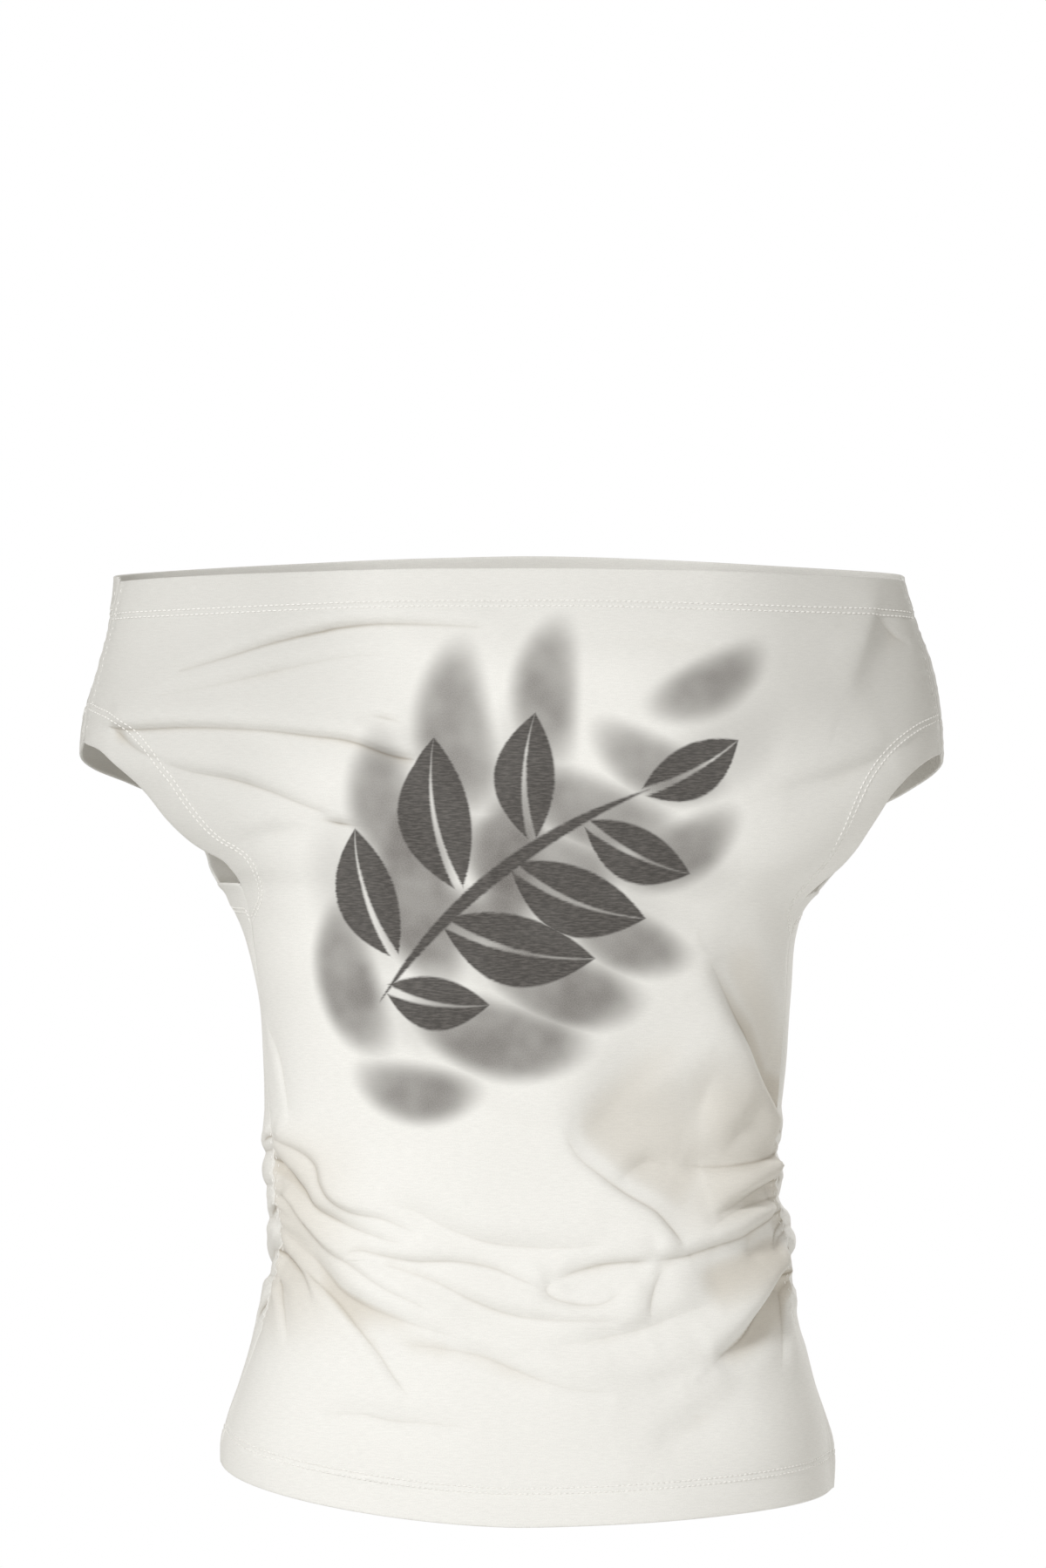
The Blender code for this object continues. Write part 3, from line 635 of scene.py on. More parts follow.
def line_field(creases, across, height):
    """Signed distance to the nearest sharp fold line, positive on its lip's side, and its strength."""
    nearest, strength = np.full_like(across, LINE_FAR), np.zeros_like(across)
    for crease in creases:
        line = crease_line(crease.points)
        near, distance, above, along = near_line(line, across, height, LINE_FAR)
        deepest = max(abs(crease.start), abs(crease.middle), abs(crease.end))
        depth = np.abs(depth_along(crease, along)) / deepest
        tip = run_out(line, along, LINE_TIP)
        seam_end = (np.abs(line[0, 0]) > SIDE_SEAM_FROM) & (along < 0.5)
        depth = depth * np.where(seam_end, 1, tip) * ((along > 0) & (along < 1))
        fade = ease(np.clip((distance - LINE_FADE[0]) / (LINE_FADE[1] - LINE_FADE[0]), 0, 1))
        closer = distance < np.abs(nearest.ravel()[near])
        chosen = near[closer]
        nearest.ravel()[chosen] = (distance * above * crease.lip)[closer]
        strength.ravel()[chosen] = (crease.line * depth * (1 - fade))[closer]
    return beside(nearest, strength, 0 * nearest)


# Slow waves of worn jersey: change across and with height, in radians to a millimetre, and size
SLACK = ((0.021, 0.034, 0.55), (-0.043, 0.052, 0.4), (0.071, 0.045, 0.28), (0.030, -0.095, 0.25))
SLACK_SHIFT = {"front": 0.7, "back": 2.9}
WANDER, WANDER_TURN = 0.8, 0.027  # sideways sway of the waves as they run down


def slack(panel, across, height):
    """Slow unevenness of worn jersey, in millimetres."""
    shift = SLACK_SHIFT[panel]
    return sum(
        size * np.sin(a * across + b * height + shift * (i + 1) + WANDER * np.sin(WANDER_TURN * height + i))
        for i, (a, b, size) in enumerate(SLACK)
    )


# Small gathers let into the side seams: height, half width and depth at the seam, how far they run
# into the cloth, and how far they drop on the way, in millimetres
Pucker = namedtuple("Pucker", "height width depth reach drop")
PUCKERS = {
    "left": (
        Pucker(-288, 2.0, 0.5, 16, 3), Pucker(-296, 1.8, 0.6, 14, 5), Pucker(-304, 2.1, 0.9, 20, 9),
        Pucker(-312.5, 1.8, 0.7, 15, 8), Pucker(-320, 2.1, 0.9, 22, 12), Pucker(-328, 1.8, 0.8, 14, 9),
        Pucker(-336, 2.0, 0.9, 20, 12), Pucker(-344, 2.3, 1.2, 24, 16), Pucker(-352, 1.8, 0.9, 18, 14),
        Pucker(-360, 2.1, 0.9, 20, 18), Pucker(-369, 2.0, 0.6, 18, 18), Pucker(-379, 2.1, 0.5, 14, 14),
        Pucker(-390, 2.1, 0.4, 12, 10),
    ),
    "right": (
        Pucker(-284, 2.0, 0.6, 16, 4), Pucker(-292, 2.0, 0.8, 18, 3), Pucker(-300, 2.1, 0.9, 20, 2),
        Pucker(-308, 1.8, 0.9, 14, 3), Pucker(-315, 2.0, 1.1, 20, 5), Pucker(-323, 2.0, 1.1, 18, 4),
        Pucker(-331, 1.8, 0.9, 20, 10), Pucker(-338, 1.8, 0.9, 16, 12), Pucker(-346, 2.1, 0.9, 18, 14),
        Pucker(-355, 2.0, 0.9, 20, 16), Pucker(-364, 2.3, 1.2, 24, 18), Pucker(-374, 2.0, 0.6, 16, 14),
        Pucker(-385, 2.1, 0.5, 14, 12),
    ),
}


PUCKER_WIDENING, PUCKER_FADE = 0.5, 1.4


def pucker_relief(side, from_seam, height):
    """Inward set of the gathers at a distance from the seam, in millimetres."""
    relief = np.zeros_like(height)
    for pucker in PUCKERS[side]:
        reach = from_seam / pucker.reach
        middle = pucker.height - pucker.drop * (1 - np.exp(-reach))
        width = pucker.width * (1 + PUCKER_WIDENING * reach)
        shape = bell(height, middle, width) - bell(height, middle + LIP_PLACE * width, width, LIP_SHARE)
        relief += pucker.depth * shape * np.exp(-(reach**PUCKER_FADE))
    return relief


SEAM_GATHERS = 284, 384  # millimetres below the shoulder line
SEAM_DRAWN, SEAM_WAVES = (22, 1.1), (14, 0.3)  # fade beyond them and size, in millimetres


def seam_set(side, height):
    """How far the seam line itself is drawn in by the creases that end there, in millimetres."""
    middle = -np.clip(-height, *SEAM_GATHERS)
    waves = np.sin(0.41 * height + SIGN[side])
    return bell(height, middle, *SEAM_DRAWN) + waves * bell(height, middle, *SEAM_WAVES)


# A turned hem, in millimetres: how proud its double cloth stands, where and how steeply it ends, how far
# outside the edge it is followed, and a stitched row's dip; and half the length of the neck edge
HEM_PROUD, HEM_END, HEM_STEEPNESS, EDGE_MARGIN = 0.35, 20.3, 3, 5
ROW_DIP, ROW_DIP_WIDTH = 0.5, 0.75
NECK_REACH = 210


def hem_relief(panel, across, height):
    """The band of double cloth stands proud, and each stitched row draws it in a little."""
    share = np.clip(across / NECK_REACH, -1, 1)
    relief = np.zeros_like(height)
    for line, sense in ((NECK, 1), (BOTTOM, -1)):
        left, middle, right = line[panel]
        edge = middle + (np.where(share < 0, left, right) - middle) * np.abs(share) ** ROW_SAG
        depth = sense * (edge / MM - height)
        band = -HEM_PROUD * soft_step(depth, HEM_END, -HEM_STEEPNESS)
        rows = sum(bell(depth, row, ROW_DIP_WIDTH, ROW_DIP) for row in HEM_NEEDLES)
        relief += np.where(depth > -EDGE_MARGIN, band + rows, 0)
    return relief


# Along a shoulder seam: distance from it, width and size of the topstitched dip, the roll and the puckers
SEAM_DIP, SEAM_ROLL, SEAM_PUCKERS = (4.4, 1.3, 0.35), (1.8, 1.5, -0.5), (5, 4.5, 0.4)


def shoulder_roll(from_seam, height):
    """The stretched, topstitched roll along a shoulder seam, with its small puckers, in millimetres."""
    waves = np.sin(0.9 * height + 1.3 * np.sin(0.21 * height))
    return bell(from_seam, *SEAM_DIP) + bell(from_seam, *SEAM_ROLL) + waves * bell(from_seam, *SEAM_PUCKERS)


# In millimetres: only creases narrower than this get painted shade, fully at this depth; the height of the
# armhole's foot, how steeply the side seam takes over there and from which share on; and how far the seams
# act
NARROW, HOLLOW_DEPTH = 10, 5
ARMHOLE_FOOT, FOOT_STEEPNESS, FOOT_SHARE = -168, 0.25, 0.02
SIDE_SEAM_HOLD, SHOULDER_SEAM_HOLD, SEAM_SET_REACH = 3.5, 5, 9


def relief_at(panel, turn, height):
    """Inward set of the cloth, the painted shade of its hollows and ridges' far sides, from 0 to 1, and the
    distance round it.
    """
    across = distance_round(panel, turn, height) / MM
    level = height / MM
    narrow = sum(crease_relief(crease, across, level) for crease in CREASES[panel] if crease.width < NARROW)
    broad = sum(crease_relief(crease, across, level) for crease in CREASES[panel] if crease.width >= NARROW)
    relief = narrow + broad + slack(panel, across, level)
    ridge_shade = np.zeros_like(across)
    for ridge in RIDGES[panel]:
        fall, shade = ridge_relief(ridge, across, level)
        relief += fall
        ridge_shade = np.maximum(ridge_shade, shade)
    below = soft_step(level, ARMHOLE_FOOT, -FOOT_STEEPNESS)
    for side, sign in SIGN.items():
        here = across * sign > 0
        from_side, from_shoulder = (
            np.abs(distance_round(panel, sign * SEAM[seam, side](height), height) / MM - across)
            for seam in ("side", "shoulder")
        )
        drawn_in = seam_set(side, level) * bell(from_side, 0, SEAM_SET_REACH)
        gathers = pucker_relief(side, from_side, level) + drawn_in
        held = np.where(below > FOOT_SHARE, below * bell(from_side, 0, SIDE_SEAM_HOLD), 0)
        relief = np.where(here, relief * (1 - held) + gathers, relief)
        held = (1 - below) * bell(from_shoulder, 0, SHOULDER_SEAM_HOLD)
        rolled = relief * (1 - held) + (1 - below) * shoulder_roll(from_shoulder, level)
        relief = np.where(here, rolled, relief)
    relief = relief + hem_relief(panel, across, level)
    # Painted shade amount for the colour: from narrow creases' depth and from ridges' far sides
    hollow = np.clip(np.maximum(narrow / HOLLOW_DEPTH, ridge_shade), 0, 1)
    return relief * MM, hollow, across * MM


def outward(places):
    return ring_slopes(places[..., 0], places[..., 1])[2]


def cloth(panel, places):
    """Points of a grid on the cloth, and its pattern places: across, height, painted shade and the fold
    lines.
    """
    turn, height = places[..., 0], places[..., 1]
    relief, hollow, across = relief_at(panel, turn, height)
    points = ring_point(turn, height) - outward(places) * relief[..., None]
    lines = [line_field(creases, across / MM, height / MM) for creases in LINE_SETS[panel]]
    return points, np.concatenate([beside(across, height, hollow), *lines], axis=-1)


def grid_normals(points, places):
    by_row, by_column = np.gradient(points, axis=(0, 1))
    normals = unit(np.cross(by_row, by_column))
    return normals * np.where((normals * outward(places)).sum(axis=-1, keepdims=True) < 0, -1, 1)


FOLD_ANGLES = np.radians((36, 72, 108, 144))


def turned_edge(points, normals, pattern, last):
    """The turned layer behind an edge: round the fold, then back under the cloth to its own edge.

    Row 0 of each array is the edge and the next rows lie further into the cloth."""
    out = square_to(unit(points[0] - points[1]), normals[0])
    fold = [FOLD_RADIUS * (np.sin(angle) * out - (1 - np.cos(angle)) * normals[0]) for angle in FOLD_ANGLES]
    under = points[:last] - 2 * FOLD_RADIUS * normals[:last]
    rows = np.concatenate([[points[0]], [points[0] + move for move in fold], under])
    return rows, np.concatenate([[pattern[0]] * (len(fold) + 1), pattern[:last]])


LINE_SETS = {panel: line_sets(panel) for panel in CREASES}
PATTERNS = ("cloth_place", "fold_line_a", "fold_line_b")


def grid_into(mesh, layers, points, pattern):
    """Adds a grid of quads through an array of points, row by row, with its pattern places."""
    rows, columns = points.shape[:2]
    made = bmesh.ops.create_grid(mesh, x_segments=columns - 1, y_segments=rows - 1, size=1)["verts"]
    for vertex, place, marks in zip(made, points.reshape(-1, 3), pattern.reshape(-1, 3, 3)):
        vertex.co = place
        for layer, mark in zip(layers, marks):
            vertex[layer] = mark


def link(name, mesh, *materials):
    """A finished mesh as a piece of the scene."""
    data = bpy.data.meshes.new(name)
    mesh.to_mesh(data)
    mesh.free()
    data.shade_smooth()
    for material in materials:
        data.materials.append(material)
    piece = bpy.data.objects.new(name, data)
    bpy.context.scene.collection.objects.link(piece)
    return piece


RAW_EDGE_ROWS = 9  # hem rows that the turned layer covers, up to its raw edge
ALLOWANCE_DEPTHS = np.array((0, 1.2, 2.8, 4.6, 7)) * MM
WELD = 0.0015 * MM
NEAR_CENTRE = 50 * MM  # faces here show which way the whole panel faces


def make_panel(name, panel, *sides):
    """The whole panel as one sheet: main sheet, armhole strips, turned hems and seam allowances."""
    mesh = bmesh.new()
    for pattern_name in PATTERNS:
        mesh.verts.layers.float_vector.new(pattern_name)
    layers = [mesh.verts.layers.float_vector[pattern_name] for pattern_name in PATTERNS]
    strips = {side: armhole_strip(panel, side) for side in SIGN}
    made = {}
    for key, places in {"main": main_sheet(panel, strips), **strips}.items():
        points, pattern = cloth(panel, places)
        made[key] = places, points, grid_normals(points, places), pattern
        grid_into(mesh, layers, points, pattern)

    # Turned hems at the neck, the bottom and the two armholes
    for order in (1, -1):
        edge = (values[::order] for values in made["main"][1:])
        grid_into(mesh, layers, *turned_edge(*edge, RAW_EDGE_ROWS))
    for side in SIGN:
        edge = (np.swapaxes(values, 0, 1) for values in made[side][1:])
        grid_into(mesh, layers, *turned_edge(*edge, len(STRIP_DEPTHS)))

    # Seam allowances behind the shoulder and side seams
    shoulder_rows = len(HEM_ROWS) + SHOULDER_ROWS - 1
    for side in SIGN:
        column = made["main"][0][:, 0 if side == "left" else -1]
        strip = made[side][0]
        shoulder = np.concatenate([column[:shoulder_rows], strip[0, ::-1]])
        flank = np.concatenate([strip[-1], column[shoulder_rows + STRIP_ROWS :]])
        for turn, height in (shoulder.T, flank.T):
            turns = [inward_turn(panel, side, turn, height, depth) for depth in ALLOWANCE_DEPTHS]
            places = np.stack([beside(turned, height) for turned in turns])
            points, pattern = cloth(panel, places)
            edge = points, grid_normals(points, places), pattern
            grid_into(mesh, layers, *turned_edge(*edge, len(ALLOWANCE_DEPTHS)))

    bmesh.ops.remove_doubles(mesh, verts=mesh.verts, dist=WELD)
    bmesh.ops.recalc_face_normals(mesh, faces=mesh.faces)
    mesh.normal_update()
    ahead = sum(face.normal.y for face in mesh.faces if abs(face.calc_center_median().x) < NEAR_CENTRE)
    if (ahead > 0) == (panel == "front"):
        bmesh.ops.reverse_faces(mesh, faces=mesh.faces)
    piece = link(name, mesh, *sides)
    wall = piece.modifiers.new("cloth_thickness", "SOLIDIFY")
    wall.thickness = JERSEY
    wall.offset = -1
    wall.material_offset = 1
    return piece, made


class Nodes:
    """Short names for the nodes that the materials are built of."""

    def __init__(self, tree):
        self.tree = tree

    def feed(self, sockets, values):
        """Links or sets each value into the socket of its name or number."""
        for key, value in dict(values).items():
            if isinstance(value, bpy.types.NodeSocket):
                self.tree.links.new(value, sockets[key])
            else:
                sockets[key].default_value = value

    def add(self, kind, inputs=(), **settings):
        """A new node of this kind, by its outputs."""
        node = self.tree.nodes.new("ShaderNode" + kind)
        for key, value in settings.items():
            setattr(node, key, value)
        self.feed(node.inputs, inputs)
        return node.outputs

    def math(self, operation, *values):
        return self.add("Math", enumerate(values), operation=operation)[0]

    def times(self, first, second):
        return self.math("MULTIPLY", first, second)

    def minus(self, first, second):
        return self.math("SUBTRACT", first, second)

    def line(self, value, factor, offset):
        return self.math("MULTIPLY_ADD", value, factor, offset)

    def step(self, value, low, high, to_low=0.0, to_high=1.0):
        inputs = {"Value": value, "From Min": low, "From Max": high, "To Min": to_low, "To Max": to_high}
        return self.add("MapRange", inputs, interpolation_type="SMOOTHSTEP")[0]

    def noise(self, vector, scale, detail=2.0, roughness=0.5):
        inputs = {"Vector": vector, "Scale": scale, "Detail": detail, "Roughness": roughness}
        return self.add("TexNoise", inputs)[0]

    def split(self, vector):
        return self.add("SeparateXYZ", {0: vector})

    def flat(self, place, across=1.0):
        """A place on the cloth without its third number; a factor below 1 draws a pattern out across."""
        return self.add("VectorMath", {0: place, 1: (across, 1.0, 0.0)}, operation="MULTIPLY")[0]

    def mix(self, share, first, second, blend="MIX"):
        first, second = (c if isinstance(c, bpy.types.NodeSocket) else (*c, 1.0) for c in (first, second))
        return self.add("Mix", {"Factor": share, 6: first, 7: second}, data_type="RGBA", blend_type=blend)[2]

    def bump(self, height, strength, distance):
        return self.add("Bump", {"Height": height, "Strength": strength, "Distance": distance})[0]

    def attribute(self, name):
        return self.add("Attribute", attribute_name=name)["Vector"]

    def group(self, tree, inputs):
        return self.add("Group", inputs, node_tree=tree)


def node_group(name, inputs, outputs):
    """A shader group with sockets named by their kind, its nodes, and its inputs and outputs from within."""
    tree = bpy.data.node_groups.new(name, "ShaderNodeTree")
    for way, kinds in (("INPUT", inputs), ("OUTPUT", outputs)):
        for kind, labels in kinds.items():
            for label in labels:
                tree.interface.new_socket(label, in_out=way, socket_type=f"NodeSocket{kind}")
    given, out = tree.nodes.new("NodeGroupInput").outputs, tree.nodes.new("NodeGroupOutput").inputs
    return tree, Nodes(tree), given, out


def new_material(name):
    """A material, its nodes, and its shader's inputs."""
    material = bpy.data.materials.new(name)
    material.use_nodes = True
    return material, Nodes(material.node_tree), material.node_tree.nodes["Principled BSDF"].inputs


# Jersey knit: upright wales crossed by courses, with slubs that run along the courses
KNIT, n, given, out = node_group(
    "jersey_knit",
    {"Vector": ["Place"], "Float": ["Wales per metre", "Courses per metre"]},
    {"Float": ["Height", "Slub", "Fuzz"]},
)
parts = n.split(given["Place"])
wales, courses = (
    n.math("SINE", n.times(n.times(part, given[label]), 2 * np.pi))
    for part, label in ((parts[0], "Wales per metre"), (parts[1], "Courses per metre"))
)
fuzz = n.noise(n.flat(given["Place"]), 1700.0)
slub = n.noise(n.flat(given["Place"], 0.16), 1250.0, 3.0, 0.6)
loops = n.line(n.math("ABSOLUTE", wales), 0.6, n.times(courses, 0.22))
height = n.line(fuzz, 0.5, n.line(slub, 0.9, loops))
n.feed(out, {"Height": height, "Slub": slub, "Fuzz": fuzz})

# Cloth colour: ivory with painted shade, grey up on the shoulders and upper left flank and warm down in the
# folds, gathers and ridges' far sides. The steps go by the place's distance from the centre line and its
# height, in metres, and by its hollow.
IVORY_AND_SHADE, n, given, out = node_group(
    "ivory_and_painted_shade",
    {"Vector": ["Place"], "Color": ["Ivory", "Painted shade grey", "Painted fold shade"], "Float": ["Warmth at gathers", "Grain"]},
    {"Color": ["Color"]},
)
across, up, hollow = n.split(given["Place"])
broad = n.noise(n.flat(given["Place"]), 9.0)
aside = n.math("ABSOLUTE", n.minus(across, 0.01))
# Painted shade: grey up on the shoulders, on the upper left flank and along the neck band, mottled a little
upper_shade = n.times(n.step(up, -0.15, -0.05), n.step(aside, 0.03, 0.15, 0.12, 1.0))
left_flank_shade = n.times(n.step(up, -0.2, -0.11), n.step(across, -0.06, -0.16, 0.0, 0.9))
upper_shade = n.math("MAXIMUM", n.math("MAXIMUM", upper_shade, left_flank_shade), n.step(up, -0.07, -0.015, 0.0, 0.5))
shade = n.add("Clamp", {0: n.math("ADD", upper_shade, n.line(broad, 0.3, -0.15))})[0]
base = n.mix(shade, given["Ivory"], given["Painted shade grey"])
# Painted shade in the gathers at the two side seams
left_gathers = n.times(n.step(up, -0.41, -0.36), n.step(up, -0.275, -0.31))
left_gathers = n.times(left_gathers, n.step(across, -0.07, -0.13, 0.0, 0.36))
right_gathers = n.times(n.step(up, -0.35, -0.315), n.step(up, -0.235, -0.275))
right_gathers = n.times(right_gathers, n.step(across, 0.06, 0.115, 0.0, 0.34))
gathers_shade = n.times(n.math("MAXIMUM", left_gathers, right_gathers), given["Warmth at gathers"])
# Painted shade in the folds, from the hollow, and in the gathers, mixed towards the fold shade colour
painted_fold_shade = n.math("MAXIMUM", n.step(hollow, 0.3, 1.0, 0.0, 0.5), gathers_shade)
fold_shaded = n.mix(painted_fold_shade, base, given["Painted fold shade"])
grain = n.step(given["Grain"], 0.3, 0.7, 0.94, 1.045)
n.feed(out, {"Color": n.add("VectorMath", {0: fold_shaded, 3: grain}, operation="SCALE")[0]})

# Sharp fold lines, from the distances and strengths that the panel's points carry: a nick, sunk and darkened
# with painted shade, the painted shade of a tuck fading over its open side, and a lip
FOLD_LINES, n, given, out = node_group(
    "fold_lines",
    {"Vector": ["Line A", "Line B"], "Float": ["Half width"]},
    {"Float": ["Height", "Shade"]},
)
shades, heights = [], []
for label in ("Line A", "Line B"):
    distance, strength, _ = n.split(given[label])
    gap = n.math("DIVIDE", n.math("ABSOLUTE", distance), given["Half width"])
    nick = n.math("POWER", 0.4, n.math("POWER", gap, 1.3))
    # Painted shade on one side of the line
    tuck_shade = n.times(n.math("GREATER_THAN", distance, 0.0), n.math("POWER", 0.66, gap))
    shades.append(n.times(strength, n.math("MAXIMUM", nick, n.times(tuck_shade, 0.62))))
    from_lip = n.line(n.math("DIVIDE", distance, given["Half width"]), 0.7, -1.8)
    lip = n.math("POWER", 0.37, n.times(from_lip, from_lip))
    heights.append(n.times(strength, n.minus(nick, n.times(lip, 0.4))))
n.feed(out, {"Shade": n.math("MAXIMUM", *shades), "Height": n.times(n.math("ADD", *heights), -1.0)})

# One leaf of the print: a pointed blade, bent along its length, as a mask from 0 to 1
LEAF_SHAPE = ["Centre X", "Centre Y", "Turn", "Half length", "Half width", "Bend"]
LEAF_SHAPE += ["Softness", "Roundness", "Vein", "Vein filled", "Raggedness"]
LEAF, n, given, out = node_group(
    "print_leaf",
    {"Vector": ["Place"], "Float": LEAF_SHAPE},
    {"Float": ["Mask"]},
)
parts = n.split(given["Place"])
dx, dy = n.minus(parts[0], given["Centre X"]), n.minus(parts[1], given["Centre Y"])
cosine, sine = n.math("COSINE", given["Turn"]), n.math("SINE", given["Turn"])
u = n.math("DIVIDE", n.line(dx, cosine, n.times(dy, sine)), given["Half length"])
v = n.minus(n.times(dy, cosine), n.times(dx, sine))
v = n.math("ABSOLUTE", n.minus(v, n.times(given["Bend"], n.times(u, u))))
taper = n.minus(1.0, n.times(u, u))
aside = n.math("POWER", n.math("DIVIDE", v, given["Half width"]), given["Roundness"])
blade = n.times(n.minus(taper, aside), given["Half width"])
blade = n.math("MINIMUM", blade, n.times(n.minus(1.0, n.math("ABSOLUTE", u)), given["Half length"]))
vein = n.math("ADD", n.minus(v, n.times(given["Vein"], n.minus(0.86, u))), given["Vein filled"])
blade = n.math("ADD", n.math("MINIMUM", blade, vein), given["Raggedness"])
n.feed(out, {"Mask": n.step(n.math("DIVIDE", blade, given["Softness"]), -1.0, 1.0)})

# The sprig: leaves by centre, turn in degrees, half length, half width and bend, in millimetres
Leaf = namedtuple("Leaf", "x y turn length width bend")
SPRIG = (
    Leaf(-18, 4, 38, 88, 3.6, -14),  # stem
    Leaf(-50, -62, -9, 28, 13.5, 4),
    Leaf(-86, -8, 108, 35, 16, -6),
    Leaf(-9, -35, -14, 41, 18, 6),
    Leaf(-50, 33, 100, 40, 18.5, -7),
    Leaf(21, -10, -22, 38, 17.5, 6),
    Leaf(-4, 53, 89, 33, 15.5, -5),
    Leaf(52, 14, -26, 31, 14, 4),
    Leaf(82, 56, 28, 29, 13.5, 3),
)
PRINT_CENTRE = (6 * MM, -158 * MM)
# Blurred echoes of the sprig: shift to the right and up, size, softness, in millimetres, and share of ink
ECHOES = (
    ((10, 44), 1.0, 13, 0.78),
    ((-8, -44), 1.04, 12, 0.86),
    ((2, 0), 1.1, 30, 0.32),
)


def sprig_mask(n, place, centre, size, softness, vein=None, raggedness=0.0):
    """The sprig at one place, size and softness, as a mask: only crisp leaves have a bare vein."""
    whole = None
    for leaf in SPRIG if vein is not None else SPRIG[1:]:
        bare = vein is not None and leaf is not SPRIG[0]
        inputs = {
            "Place": place,
            "Centre X": centre[0] + size * leaf.x * MM,
            "Centre Y": centre[1] + size * leaf.y * MM,
            "Turn": np.radians(leaf.turn),
            "Half length": size * leaf.length * MM,
            "Half width": size * leaf.width * MM,
            "Bend": size * leaf.bend * MM,
            "Softness": softness * MM,
            "Roundness": 2.0 if vein is None else 1.0,
            "Vein": vein * MM if bare else 0.0,
            "Vein filled": 0.0 if bare else 1.0,
            "Raggedness": raggedness,
        }
        one = n.group(LEAF, inputs)["Mask"]
        whole = one if whole is None else n.math("MAXIMUM", whole, one)
    return whole


# Painted shade colours: the grey of the upper cloth on each face, the warm dark of folds, gathers and ridges'
# far sides, and the dark of the fold lines
IVORY, SHOULDER_SHADE, FOLD_SHADE = (0.83, 0.822, 0.795), (0.63, 0.622, 0.597), (0.505, 0.443, 0.35)
REVERSE, REVERSE_SHADE = (0.93, 0.915, 0.88), (0.90, 0.885, 0.85)
WORN_INK, INK, ECHO = (0.1178, 0.1083, 0.1007), (0.062, 0.057, 0.053), (0.12, 0.108, 0.10)
CLEFT_SHADE, CLEFT_SHARE, CLEFT_POWER = (0.42, 0.36, 0.28), 0.74, 1.35  # shade in the fold lines
WALES, COURSES, LINE_HALF_WIDTH = 1350.0, 1700.0, 1.0  # to a metre; in millimetres
KNIT_DEPTH, LINE_DEPTH = 0.05, 0.7  # in millimetres
INK_SHARE = 0.97  # how fully the ink covers the cloth
VEIN_WIDTH, INK_SOFTNESS, INK_WEAR = 1.3, 0.9, 2.6  # in millimetres


def print_over(n, place, knit, colour):
    """The colour with the print on it, and the mask of its crisp ink."""
    x, y = PRINT_CENTRE
    wander = n.noise(n.flat(place), 34.0)
    worn = n.times(n.minus(knit["Slub"], 0.5), INK_WEAR * MM)
    worn = n.times(worn, n.step(wander, 0.35, 0.7, 0.25, 1.0))
    clear = 1.0
    for (right, up), size, softness, ink_share in ECHOES:
        echo = sprig_mask(n, place, (x + right * MM, y + up * MM), size, softness)
        clear = n.times(clear, n.line(echo, -ink_share, 1.0))
    echo = n.times(n.minus(1.0, clear), n.step(wander, 0.3, 0.7, 0.8, 1.0))
    mottled = n.times(echo, n.step(knit["Fuzz"], 0.2, 0.8, 0.86, 1.04))
    ink = sprig_mask(n, place, (x, y), 1.0, INK_SOFTNESS, VEIN_WIDTH, worn)
    inked = n.mix(n.step(knit["Slub"], 0.32, 0.62), WORN_INK, INK)
    return n.mix(n.times(ink, INK_SHARE), n.mix(mottled, colour, ECHO), inked), ink


def jersey(name, printed=False, face=(IVORY, SHOULDER_SHADE), courses=COURSES):
    """One side of the cloth: knit, ivory colour with painted shade, sheen and, on the front's right side, the
    print.
    """
    material, n, shader = new_material(name)
    place, line_a, line_b = (n.attribute(pattern_name) for pattern_name in PATTERNS)
    knit = n.group(KNIT, {"Place": place, "Wales per metre": WALES, "Courses per metre": courses})
    tint = {"Ivory": (*face[0], 1), "Painted shade grey": (*face[1], 1), "Painted fold shade": (*FOLD_SHADE, 1)}
    # How much painted shade the gathers get on this face
    tint["Warmth at gathers"] = 1.0 if printed else 0.15
    tint["Grain"] = n.line(knit["Fuzz"], 0.55, n.times(knit["Slub"], 0.45))
    colour = n.group(IVORY_AND_SHADE, {"Place": place, **tint})["Color"]
    roughness = n.step(knit["Slub"], 0.3, 0.7, 0.78, 0.92)
    if printed:
        colour, ink = print_over(n, place, knit, colour)
        roughness = n.line(ink, -0.06, roughness)
    lines = n.group(FOLD_LINES, {"Line A": line_a, "Line B": line_b, "Half width": LINE_HALF_WIDTH})
    # The fold lines' shade is painted into the colour here
    cleft_shade = n.times(n.math("POWER", lines["Shade"], CLEFT_POWER), CLEFT_SHARE)
    relief = n.line(knit["Height"], KNIT_DEPTH, n.times(lines["Height"], LINE_DEPTH))
    looks = {
        "Base Color": n.mix(cleft_shade, colour, CLEFT_SHADE, "MULTIPLY"),
        "Roughness": roughness,
        "Normal": n.bump(relief, 0.8, 1 * MM),
        "Sheen Weight": 0.08,
        "Sheen Roughness": 0.55,
        "Specular IOR Level": 0.25,
    }
    n.feed(shader, looks)
    return material


jersey_reverse = jersey("jersey_reverse", face=(REVERSE, REVERSE_SHADE), courses=1150.0)
printed_jersey = jersey("printed_jersey", printed=True)
front, front_made = make_panel("front_jersey", "front", printed_jersey, jersey_reverse)
HEMS = ("neck_hem", "bottom_hem", "armhole_hem_left", "armhole_hem_right")
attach(front, "root")
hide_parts("front", *(f"front_{hem}" for hem in HEMS))

# ---------------------------------------------------------------- back panel
# The back is cut from the same jersey, plain, a little higher at the neckline. It is turned and gathered
# as the front is, and joined to it at the shoulder and side seams.
back, back_made = make_panel("back_jersey", "back", jersey("plain_jersey"), jersey_reverse)
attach(back, "root")
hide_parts("back", *(f"back_{hem}" for hem in HEMS))

